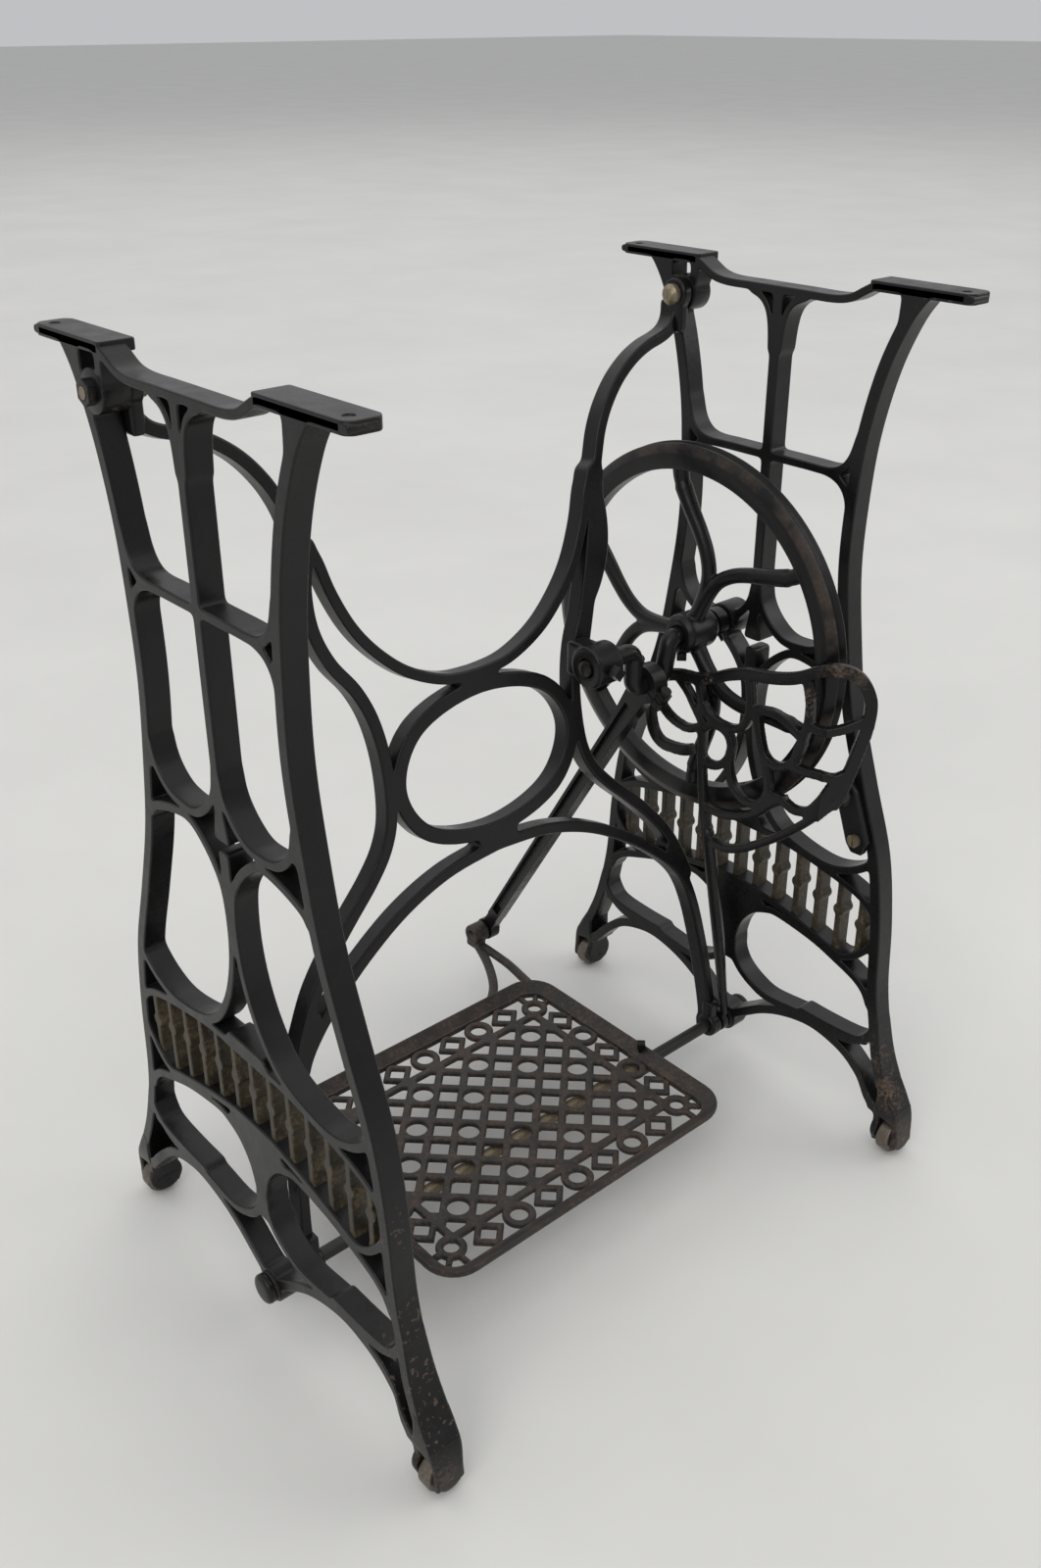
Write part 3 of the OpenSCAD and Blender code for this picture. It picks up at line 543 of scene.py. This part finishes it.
def iron(name, dark=(0.0046, 0.0043, 0.0046), lite=(0.0098, 0.0093, 0.0096), rust=(0.060, 0.040, 0.027),
         rough=(0.22, 0.37), wear=0.5, tint=0.0, patches=(), dust_and_sheen=0.06, grain=1.0, ring=None, specks=()):
    g = G(name)
    big = g.noise(9, 5, 0.6)
    mid = g.noise(60, 4, 0.6)
    fine = g.noise(330, 4, 0.65)
    col = g.mix(g.rng(big, 0.35, 0.65), dark, lite)
    geo = g.n("ShaderNodeNewGeometry")
    edge = g.rng(geo.outputs["Pointiness"], 0.525, 0.60)
    spots = g.rng(g.math("ADD", g.math("MULTIPLY", mid, 0.6), g.math("MULTIPLY", fine, 0.4)), 0.52, 0.60)
    mask = g.math("MULTIPLY", g.math("MULTIPLY", edge, spots), wear)
    if tint:
        mask = g.math("ADD", mask, g.math("MULTIPLY", g.rng(g.math("ADD", g.math("MULTIPLY", mid, 0.5), g.math("MULTIPLY", fine, 0.5)), 0.47, 0.60), tint))
    for x, y, z, r, k in patches:
        a = g.near((x * MM, y * MM, z * MM), r * 0.35 * MM, r * MM)
        mask = g.math("ADD", mask, g.math("MULTIPLY", g.math("MULTIPLY", a, g.rng(g.math("ADD", g.math("MULTIPLY", mid, 0.4), g.math("MULTIPLY", fine, 0.6)), 0.46, 0.56)), k))
    if specks:
        dots = g.rng(g.noise(270, 2, 0.5), 0.60, 0.67)
        for x, y, z, r, k in specks:
            mask = g.math("ADD", mask, g.math("MULTIPLY", g.math("MULTIPLY", g.near((x * MM, y * MM, z * MM), r * 0.6 * MM, r * MM), dots), k))
    if ring:
        # a bevel of a turning rim, worn through in places; the band all round the bevel is also a painted highlight of
        # the bevel
        y0, z0, r0, xe, k = ring
        c3 = g.n("ShaderNodeSeparateXYZ")
        g.put(c3.inputs[0], g.co)
        dy, dz = g.math("SUBTRACT", c3.outputs[1], y0), g.math("SUBTRACT", c3.outputs[2], z0)
        rr = g.math("SQRT", g.math("ADD", g.math("MULTIPLY", dy, dy), g.math("MULTIPLY", dz, dz)))
        rim_wear_and_highlight = g.math("MULTIPLY", g.rng(rr, r0, r0 + 0.0015), g.rng(c3.outputs[0], xe - 0.001, xe, 1.0, 0.0))
        mask = g.math("ADD", mask, g.math("MULTIPLY", g.math("MULTIPLY", rim_wear_and_highlight, g.rng(g.math("ADD", g.math("MULTIPLY", big, 0.55), g.math("MULTIPLY", mid, 0.45)), 0.46, 0.58)), k))
    mask = g.math("MINIMUM", mask, 1.0)
    rcol = g.mix(g.rng(fine, 0.35, 0.65), rust, tuple(c * 1.75 for c in rust))
    col = g.mix(mask, col, rcol)
    # up-facing surfaces are mixed toward a lighter grey: settled dust, and a painted sheen standing in for the overhead
    # light's reflection on top faces
    up = g.n("ShaderNodeSeparateXYZ")
    g.put(up.inputs[0], geo.outputs["Normal"])
    top = g.math("MULTIPLY", g.rng(up.outputs[2], 0.35, 1.0), g.rng(mid, 0.35, 0.7))
    col = g.mix(g.math("MULTIPLY", top, dust_and_sheen), col, (0.075, 0.072, 0.068))
    g.put(g.b.inputs["Base Color"], col)
    ro = g.math("ADD", g.rng(g.math("ADD", g.math("MULTIPLY", big, 0.5), g.math("MULTIPLY", mid, 0.5)), 0.35, 0.65, *rough),
                g.math("ADD", g.math("MULTIPLY", mask, 0.22), g.math("MULTIPLY", top, 0.06)), clamp=True)
    g.put(g.b.inputs["Roughness"], ro)
    g.b.inputs["Specular IOR Level"].default_value = 0.27
    h = g.math("ADD", g.math("MULTIPLY", g.noise(1100, 2, 0.6), 0.35), g.math("MULTIPLY", fine, 0.65))
    h = g.math("SUBTRACT", h, g.math("MULTIPLY", mask, 0.25))
    nb = g.bump(g.noise(38, 2, 0.5), 0.0011 * grain, 0.55)
    g.put(g.b.inputs["Normal"], g.bump(h, 0.00022 * grain, 0.6, nb))
    return g.m


def bare(name, dark=(0.10, 0.088, 0.075), lite=(0.23, 0.215, 0.195), metal=0.75, rough=(0.34, 0.55), brown=(0.085, 0.052, 0.030), amount=0.45, paint=None):
    g = G(name)
    mid = g.noise(95, 4, 0.6)
    fine = g.noise(520, 3, 0.6)
    col = g.mix(g.rng(mid, 0.3, 0.7), dark, lite)
    m = g.math("MULTIPLY", g.rng(g.math("ADD", g.math("MULTIPLY", mid, 0.5), g.math("MULTIPLY", fine, 0.5)), 0.44, 0.60), amount)
    col = g.mix(m, col, brown)
    if paint:
        # black paint on both ends, worn bare between the two x positions
        x = g.n("ShaderNodeSeparateXYZ")
        g.put(x.inputs[0], g.co)
        w = g.math("ADD", x.outputs[0], g.math("MULTIPLY", g.math("SUBTRACT", mid, 0.5), 0.012))
        bared = g.math("MULTIPLY", g.rng(w, paint[0] - 0.002, paint[0] + 0.002), g.rng(w, paint[1] - 0.002, paint[1] + 0.002, 1.0, 0.0))
        col = g.mix(bared, g.mix(g.math("MULTIPLY", m, 0.5), (0.0085, 0.0080, 0.0080), (0.030, 0.022, 0.017)), col)
        g.put(g.b.inputs["Metallic"], g.math("MULTIPLY", bared, metal))
    else:
        g.b.inputs["Metallic"].default_value = metal
    g.put(g.b.inputs["Base Color"], col)
    g.put(g.b.inputs["Roughness"], g.rng(fine, 0.3, 0.7, *rough))
    g.put(g.b.inputs["Normal"], g.bump(g.math("ADD", fine, mid), 0.00025, 0.5))
    return g.m


M_FRAME = iron("japanned_side_iron", patches=[
    (-258, -214, 22, 24, 0.55), (-258, 168, 28, 22, 0.35),
    (243, -211, 56, 17, 1.0), (239, -206, 68, 15, 0.8), (243, -222, 22, 26, 0.55), (240, -196, 92, 16, 0.5), (250, 170, 30, 24, 0.4)],
    specks=[(-252, -196, 70, 42, 0.9), (-250, -178, 118, 38, 0.8), (-250, -165, 205, 28, 0.8), (243, -200, 80, 45, 0.7), (250, -160, 705, 26, 0.4)])
M_BRACE = iron("japanned_brace_iron", wear=0.45)
M_WHEEL = iron("japanned_wheel_iron", wear=0.55, rough=(0.24, 0.38), ring=(0.0075, 0.430, 0.1438, 0.1965, 0.4))
M_CRANK = iron("crank_iron", wear=0.3, rough=(0.22, 0.34))
M_SCREW = iron("black_screws", wear=0.4, rough=(0.28, 0.42))
M_GUARD = iron("japanned_guard_iron", wear=0.55, rust=(0.085, 0.060, 0.040), patches=[
    (177.5, -33, 404, 9, 1.0), (177, -36, 398, 8, 0.7), (178, -134, 424, 10, 0.9), (178, -135, 414, 8, 0.7), (186, -162, 448, 22, 0.35), (181, -150, 452, 18, 0.3)])
M_TREAD = iron("worn_treadle_iron", dark=(0.016, 0.0145, 0.0135), lite=(0.034, 0.029, 0.026), rust=(0.078, 0.050, 0.034),
               rough=(0.36, 0.52), wear=0.8, tint=0.45, dust_and_sheen=0.10)
M_SPIN = iron("spindle_iron", dark=(0.020, 0.0175, 0.012), lite=(0.045, 0.038, 0.024), rust=(0.085, 0.062, 0.035), wear=0.6, tint=0.5, rough=(0.34, 0.5))
M_STEEL = bare("worn_steel")
M_AXLE = bare("treadle_rod_steel", dark=(0.16, 0.125, 0.075), lite=(0.30, 0.25, 0.17), metal=0.45, rough=(0.42, 0.6), brown=(0.08, 0.052, 0.03), amount=0.5,
              paint=(-0.160, 0.125))
M_ROD = bare("brown_rod", dark=(0.035, 0.028, 0.024), lite=(0.075, 0.062, 0.052), metal=0.45, rough=(0.36, 0.5))
M_CASTER = bare("caster_steel", dark=(0.12, 0.10, 0.082), lite=(0.25, 0.225, 0.19), metal=0.7, rough=(0.36, 0.56), amount=0.55)
M_TAN = bare("tan_hardware", dark=(0.17, 0.135, 0.085), lite=(0.36, 0.31, 0.22), metal=0.7, rough=(0.30, 0.48), brown=(0.07, 0.05, 0.03), amount=0.5)


# ------------------------------------------------------------------ side castings
FT = 18.0
FOOT0, FOOT1 = 125.0, 40.0


def flare(xm):
    def f(V):
        z = V[:, 2]
        y = np.abs(V[:, 1] - YM)
        wide = np.interp(z, (16, 24, 42, 60, 90, 125), (11.5, 11.5, 12.5, 12.5, 11, 9)) / 9
        wy = np.clip((y - 150) / 16, 0, 1)
        k = 1 + (wide - 1) * (wy * wy * (3 - 2 * wy))
        V = V.copy()
        V[:, 0] = xm + (V[:, 0] - xm) * k
        # the pads are pieces of their own and stand a hair proud of the lattice
        top = np.abs(V[:, 1] - YM) > 80
        V[:, 2] = np.where(top & (V[:, 2] > 704.2), 704.9 + (V[:, 2] - 704.2) * 0.8, V[:, 2])
        return V
    return f


BAND = [[0, 252], [30, 252], [60, 250], [100, 243], [130, 235], [147, 224], [152, 211], [150, 196],
        [141, 183], [130, 173], [118, 169], [100, 174], [60, 184], [25, 190], [0, 191]]


def band_at(y):
    C = smooth_path(BAND, 6)
    hits = []
    for a, b in zip(C, C[1:]):
        if (a[0] - y) * (b[0] - y) <= 0 and abs(a[0] - b[0]) > 1e-6:
            hits.append(a[1] + (b[1] - a[1]) * (y - a[0]) / (b[0] - a[0]))
    return min(hits), max(hits)


def side_frame(node, x0, tag, bearing):
    xm = x0 + FT / 2
    cut = section(node, Vector(((x0 + 1.0) * MM, 0, 0)), RX, RY, RZ)
    cut = [P for P in cut if abs(area(P)) > 30]
    loops = [tidy(P, 1.6, 5, 0.014) for P in cut]
    plate("side_lattice_" + tag, loops, lambda a, b, d: (d, a, b), x0, x0 + FT, 1.35, 3, warp=flare(xm), node=node, mats=M_FRAME)
    # pads
    for s in (-1, 1):
        P = [(x0, 80), (x0 + 24, 80), (x0 + 24, 158), (x0 + 20, 163), (x0 + 4, 163), (x0, 159)]
        P = np.array([(x, YM + s * y) for x, y in P], float)
        out = tidy(np.array(round_profile(P, 1.6, 3)), 1.2, 1)
        hole = np.array([(xm + 3.2 * math.cos(a), YM + s * 152 + 3.2 * math.sin(a)) for a in np.linspace(0, 2 * math.pi, 28, endpoint=False)])
        plate("pad_%s_%s" % (tag, "back" if s > 0 else "front"), [out, hole], lambda a, b, d: (a, b, d), 704.6, 712, 1.0, 3, node=node, mats=M_FRAME)
    parts = []
    # rod boss and bolt boss with softened rims
    parts.append(disc(-FT / 2 - 2.5, FT / 2 + 2.5, 12, (xm, YM, 40), RX, 1.4, 5.56))
    parts.append(disc(-FT / 2 - 0.3, FT / 2 + 0.3, 13.8, (xm, YM + 95, 682), RX, 1.2, 4.2))
    if bearing:
        parts.append(disc(-FT / 2 - 5, FT / 2 + 1, 14, (xm, YM + 30, 430), RX, 1.6, 7.56))
    solid("side_bosses_" + tag, parts, node=node, mats=M_FRAME)
    # fork of each caster: outer tongue, inner disc and the bridge over the wheel, melted into one
    for s in (-1, 1):
        n = "back" if s > 0 else "front"
        parts = [disc(175.3, 181.3, 14.5, (xm, YM, 20.5), RY * s, 1.2, 0),
                 block((xm, YM + s * 178.3, 31), (11.0, 3.0, 8.0), 1.2)]
        rings = []
        for z, yi, yo, w in ((71, 174.5, 182.0, 11.8), (64, 175.5, 186.0, 12.5), (56, 176, 190.4, 12.9), (50, 176, 193.4, 13.0), (46, 175.6, 195.5, 13.0), (42, 174, 197.3, 13.0),
                             (38, 175, 198.5, 12.8), (34.5, 193.2, 199.2, 12.6), (31, 194.6, 199.8, 12.3), (24, 194.8, 200.6, 11.8), (17, 194.8, 201, 11.5),
                             (12.5, 194.8, 201, 10.8), (9.2, 194.8, 201, 8.9), (6.6, 194.8, 200.8, 6.0), (5.2, 195.4, 200, 2.6)):
            e = min(1.6, (yo - yi) * 0.3)
            o = [(-w, yi + e), (-w + e, yi), (w - e, yi), (w, yi + e), (w, yo - e), (w - e, yo), (-w + e, yo), (-w, yo - e)]
            rings.append([Vector((xm + a, YM + s * b, z)) for a, b in o])
        parts.append(grid_mesh(rings))
        remeshed("caster_fork_%s_%s" % (tag, n), parts, 0.75, 5, node=node, mats=M_FRAME)
    # spindles of the band
    for i in range(13):
        y = (i - 6) * 270 / 12
        lo, hi = band_at(abs(y))
        zc = 221 + (203 - 221) * (abs(y) / 150) ** 2
        zc = min(max(zc, lo + 9), hi - 9)
        lo, hi = lo + 0.5, hi - 0.5
        w, bead = 2.75, 5.5
        prof = [(w + 1.6, lo), (w + 0.4, lo + 3.5), (w, lo + 6)]
        for q in range(-4, 5):
            a = q / 4 * math.radians(62)
            prof.append((max(w, bead * math.cos(a)), zc + bead * math.sin(a)))
        prof += [(w, hi - 6), (w + 0.4, hi - 3.5), (w + 1.6, hi)]
        P = [(YM + y + a, b) for a, b in prof] + [(YM + y - a, b) for a, b in prof[::-1]]
        plate("spindle_%s_%02d" % (tag, i + 1), [tidy(np.array(P, float), 1.0, 2)], lambda a, b, d: (d, a, b), x0 + 2, x0 + FT - 2, 1.0, 2, node=node, mats=M_SPIN)


side_frame("left_side_frame", -258.5, "left", False)
side_frame("right_side_frame", 240.5, "right", True)

# ------------------------------------------------------------------ back brace
TILT = math.radians(8.74)
SU = RX
SV = Vector((0, math.sin(TILT), math.cos(TILT)))
SN = Vector((0, math.cos(TILT), -math.sin(TILT)))
SO = Vector((0, YM - 3, 45))


def slope(a, b, d):
    p = SO + SU * a + SV * (b - 45) + SN * d
    return (p.x, p.y, p.z)


loops = section("back_brace", (SO + SN * 12) * MM, SN, SU, SV)
base = SO.dot(SV)
loops = [np.stack([P[:, 0], P[:, 1] - base + 45], 1) for P in loops]
loops = [tidy(P, 1.6, 6, 0.014) for P in loops if abs(area(P)) > 60]
plate("brace_ribs", loops, slope, 0, 16, 2.0, 4, node="back_brace", mats=M_BRACE)

parts = [disc(81.5, 107.5, 17, (0, YM + 30, 430), RX, 2.2, 7.56),
         block((95, YM + 43, 430), (9.5, 14, 14), 3)]
for s in (-1, 1):
    parts.append(disc(216, 228, 11, (0, YM, 40), RX * s, 1.6, 5.56))
    parts.append(block((s * 222, YM + 1, 55), (5, 6, 10), 2))
    parts.append(disc(230.5, 240.4, 12, (0, YM + 95, 682), RX * s, 1.6, 4.2))
    parts.append(block((s * 235.4, YM + 94.5, 668), (4.9, 8, 15), 2.5))
remeshed("brace_bosses", parts, 0.9, 5, node="back_brace", mats=M_BRACE)

# ------------------------------------------------------------------ flywheel and crank
AX = Vector((0, YM + 30, 430))
WX, RW, RH, WR = 191.5, 14.5, 20.5, 152.5
rim = [(WX + 1.6, WR - RH), (WX + 0.4, WR - RH + 0.5), (WX, WR - RH + 1.7), (WX, WR - 8.8), (WX + 0.35, WR - 7.7), (WX + 3.5, WR - 1.5), (WX + 4.1, WR - 0.7),
       (WX + 4.8, WR - 0.6), (WX + 5.7, WR - 1.2), (WX + 7.6, WR - 4.0), (WX + 9, WR - 4.9), (WX + 10.2, WR - 3.9), (WX + 11.4, WR - 1.4), (WX + 12.1, WR - 0.3),
       (WX + 12.9, WR), (WX + 13.6, WR - 0.4), (WX + 14.2, WR - 1.3), (WX + RW, WR - 2.6), (WX + RW, WR - RH + 1.7), (WX + 14.1, WR - RH + 0.5),
       (WX + 12.9, WR - RH), (WX + 10, WR - RH), (WX + 4.5, WR - RH)]
solid("flywheel_rim", [lathe(rim, (0, AX.y, AX.z), RX, 160)], angle=32, node="flywheel", mats=M_WHEEL)
BR = [(14, 0), (34, 1), (54, 5), (70, 12), (84, 19), (98, 25), (112, 29), (124, 31), (136, 31)]
parts = []
for k in range(3):
    th = math.radians(203 + k * 120)
    for s in (1, -1):
        P = []
        for r, a in smooth_path([(r * math.cos(math.radians(a)), s * r * math.sin(math.radians(a))) for r, a in BR], 4):
            # drawn in the wheel's own plane: local x is -Z, local y is Y
            x, y = r * math.cos(th) - a * math.sin(th), r * math.sin(th) + a * math.cos(th)
            P.append((WX + RW / 2, AX.y + y, AX.z - x))
        parts.append(sweep(P, lambda t: 7.3 - 1.2 * math.sin(min(1, t * 1.15) * math.pi) ** 0.8 if t < 0.87 else 6.1 + (t - 0.87) * 8, 18, wide=1.0, tall=1.0))
parts.append(disc(WX - 6, WX + 24.5, 16.5, (0, AX.y, AX.z), RX, 2.5, 7.6))
parts.append(disc(WX - 8, WX + 28.5, 14, (0, AX.y, AX.z), RX, 1.5, 7.6))
remeshed("flywheel_spokes", parts, 1.1, 6, node="flywheel", mats=M_WHEEL)

path = filleted([(79.5, AX.y, AX.z), (134, AX.y, AX.z), (134, AX.y, AX.z - 32), (168, AX.y, AX.z - 32), (175, AX.y, AX.z), (262, AX.y, AX.z)], 8.5, 8)
solid("crank_bar", [sweep(path, 7.48, 28, up=RY)], node="crankshaft", mats=M_CRANK)

# ------------------------------------------------------------------ treadle
TX, TY, TZ, TT = -17.5, YM + 24, 46.5, 5.5
loops = section("treadle_plate", Vector((0, 0, (TZ + 2.0) * MM)), RZ, RX, RY)
loops = [tidy(P, 1.0, 1, 0.02, 6) for P in loops if abs(area(P)) > 6]
plate("treadle_lattice", loops, lambda a, b, d: (a, b, d), TZ + 0.15, TZ + TT - 0.1, 2.1, 4, node="treadle_plate", mats=M_TREAD)
IX, IY, CR, RISE = 154 - 12, 126 - 12, 17.0, 7.0
sec = [(-1.5, 0), (1, 0), (11.2, RISE), (12, RISE + 2.5), (11.4, TT + RISE - 0.6), (10.2, TT + RISE), (8.8, TT + RISE - 0.8), (0, TT), (-1.5, TT)]
sec = round_profile(sec, 1.3, 2)
line = []
for qx, qy, a0 in ((1, 1, 0), (-1, 1, 90), (-1, -1, 180), (1, -1, 270)):
    for k in range(9):
        a = math.radians(a0 + k * 90 / 8)
        line.append((qx * (IX - CR), qy * (IY - CR), math.cos(a), math.sin(a)))
rings = []
for cx, cy, ca, sa in line:
    rings.append([(TX + cx + (CR + u) * ca, TY + cy + (CR + u) * sa, TZ + h) for u, h in sec])
# long sides need a few more stations so that the noise and shading stay even
dense = []
for i, r in enumerate(rings):
    q = rings[(i + 1) % len(rings)]
    d = max(Vector(r[0]).__sub__(Vector(q[0])).length, 1)
    k = max(1, int(d / 18))
    for j in range(k):
        dense.append([tuple(Vector(a).lerp(Vector(b), j / k)) for a, b in zip(r, q)])
n = len(sec)
V = [v for r in dense for v in r]
F = []
for j in range(len(dense)):
    j2 = (j + 1) % len(dense)
    for i in range(n):
        i2 = (i + 1) % n
        F.append((j * n + i, j * n + i2, j2 * n + i2, j2 * n + i))
solid("treadle_rim_casting", [(V, F)], angle=35, node="treadle_rim", mats=M_TREAD)
parts = []
for s in (-1, 1):
    x = TX + s * (154 - 6)
    lug = [disc(-9, 9, 10, (x, YM, 40), RX, 1.4, 5.56), block((x, YM, 46.0), (8.7, 8.7, 6.2), 1.6)]
    remeshed("treadle_lug_%s" % ("left" if s < 0 else "right"), lug, 0.8, 4, node="treadle_lugs", mats=M_TREAD)
for P in ([(126, 138), (130, 160), (134, 185), (135, 210), (135, 235)], [(66, 142), (84, 152), (102, 170), (120, 200), (134, 233)]):
    Q = [(x, YM + y, TZ + 4) for x, y in smooth_path(P, 5)]
    parts.append(sweep(Q, 4.6, 14, wide=1.0, tall=0.86, up=RZ))
parts.append(disc(128, 144.5, 10, (0, YM + 235, 62), RX, 1.6, 4.6))
parts.append(block((134.7, YM + 235, 55), (6.4, 8.4, 8), 2.4))
remeshed("treadle_arm_pair", parts, 0.9, 4, node="treadle_arms", mats=M_TREAD)

# ------------------------------------------------------------------ dress guard
remeshed("guard_casting", [], 1.0, 5, src=N["dress_guard"], node="dress_guard", mats=M_GUARD)


# ------------------------------------------------------------------ carried-over CAD nodes
def finish_node(node, mat, width, seg=3, angle=30):
    o = N[node]
    o.data.materials.clear()
    o.data.materials.append(mat)
    w = o.modifiers.new("weld", "WELD")
    w.merge_threshold = 5e-6
    b = o.modifiers.new("bevel", "BEVEL")
    b.width = width * MM
    b.segments = seg
    b.limit_method = "ANGLE"
    b.angle_limit = math.radians(angle)
    b.use_clamp_overlap = True
    b.harden_normals = False
    for p in o.data.polygons:
        p.use_smooth = True
    k = o.modifiers.new("normals", "WEIGHTED_NORMAL")
    k.keep_sharp = False


finish_node("pitman", M_BRACE, 0.9)
finish_node("pitman_cap_screws", M_SCREW, 0.4, 2)
finish_node("treadle_joint_pin", M_SCREW, 0.5, 2)
finish_node("treadle_lug_screws", M_SCREW, 0.4, 2)
finish_node("treadle_rod", M_AXLE, 0.8, 3)
for s, t in ((-1, "left"), (1, "right")):
    cap = [(261.2, 0), (261.2, 11.2), (261.8, 11.8), (264.6, 11.8), (266.0, 11.2), (266.9, 9.8), (267.3, 7.6), (267.5, 4.0), (267.5, 0)]
    solid("rod_cap_nut_" + t, [lathe(cap, (0, YM, 40), RX * s, 56)], angle=50, node="rod_nuts", mats=M_FRAME)
finish_node("brace_bolts", M_TAN, 0.5, 2)
finish_node("brace_nuts", M_BRACE, 0.6, 2)
finish_node("brace_set_screw", M_SCREW, 0.4, 2)
finish_node("flywheel_set_screw", M_SCREW, 0.4, 2)
finish_node("guard_screws", M_TAN, 0.25, 2)
finish_node("axle_collar", M_WHEEL, 0.8, 3)
finish_node("caster_pins", M_STEEL, 0.4, 2)
for n in ("front_left", "back_left", "front_right", "back_right"):
    finish_node("caster_wheel_" + n, M_CASTER, 0.7, 3)

# ------------------------------------------------------------------ camera
cam = bpy.data.cameras.new("camera")
camera = bpy.data.objects.new("camera", cam)
bpy.context.scene.collection.objects.link(camera)
az, el, roll = map(math.radians, (-41.178, 27.888, -0.1595))
fwd = Vector((-math.sin(az) * math.cos(el), math.cos(az) * math.cos(el), -math.sin(el)))
r0 = Vector((math.cos(az), math.sin(az), 0))
up0 = r0.cross(fwd)
CRt = r0 * math.cos(roll) + up0 * math.sin(roll)
CUp = -r0 * math.sin(roll) + up0 * math.cos(roll)
MW = Matrix(((CRt.x, CUp.x, -fwd.x), (CRt.y, CUp.y, -fwd.y), (CRt.z, CUp.z, -fwd.z))).to_4x4()
CAM = Vector((-0.6392, -0.74027, 0.87917))
MW.translation = CAM
camera.matrix_world = MW
cam.sensor_width = 36
cam.sensor_fit = 'AUTO'
cam.lens = 36 * 1498.66 / 1600
cam.clip_start = 0.02
cam.clip_end = 60
bpy.context.scene.camera = camera


# ------------------------------------------------------------------ floor and light
def plain(name, a, b, scale, rough, bump):
    g = G(name)
    n1 = g.noise(scale, 5, 0.6)
    n2 = g.noise(scale * 9, 4, 0.6)
    col = g.mix(g.rng(n1, 0.3, 0.7), a, b)
    g.put(g.b.inputs["Base Color"], col)
    g.b.inputs["Roughness"].default_value = rough
    g.b.inputs["Specular IOR Level"].default_value = 0.3
    g.put(g.b.inputs["Normal"], g.bump(n2, bump, 0.35))
    return g.m


def sheet_mesh(name, pts, mat):
    me = bpy.data.meshes.new(name)
    me.from_pydata([tuple(p) for p in pts], [], [tuple(range(len(pts)))])
    o = bpy.data.objects.new(name, me)
    bpy.context.scene.collection.objects.link(o)
    me.materials.append(mat)
    return o


floor = sheet_mesh("floor", [(-40, -40, 0), (40, -40, 0), (40, 40, 0), (-40, 40, 0)],
                   plain("floor_paint", (0.66, 0.655, 0.632), (0.71, 0.705, 0.68), 2.2, 0.6, 0.0006))


def area_light(name, loc, target, size, power, col=(1, 1, 1)):
    l = bpy.data.lights.new(name, "AREA")
    l.shape = 'RECTANGLE'
    l.size, l.size_y = size
    l.energy = power
    l.color = col
    o = bpy.data.objects.new(name, l)
    bpy.context.scene.collection.objects.link(o)
    o.location = loc
    d = Vector(target) - Vector(loc)
    o.rotation_euler = d.to_track_quat('-Z', 'Y').to_euler()
    return o


area_light("overhead", (2.0, 2.3, 5.0), (2.0, 2.3, 0.0), (13.0, 13.0), 300, (1.0, 0.99, 0.97))
area_light("key_left", (-2.4, -1.2, 2.2), (0.0, 0.0, 0.4), (1.6, 1.6), 22, (1.0, 0.99, 0.98))
area_light("fill_right", (2.4, -1.6, 1.8), (0.0, 0.0, 0.4), (1.6, 1.6), 12, (1.0, 1.0, 1.0))
bpy.context.scene.view_settings.view_transform = "Standard"
w = bpy.data.worlds.new("studio")
bpy.context.scene.world = w
w.use_nodes = True
w.node_tree.nodes["Background"].inputs[0].default_value = (0.96, 0.97, 1.0, 1)
w.node_tree.nodes["Background"].inputs[1].default_value = 0.55
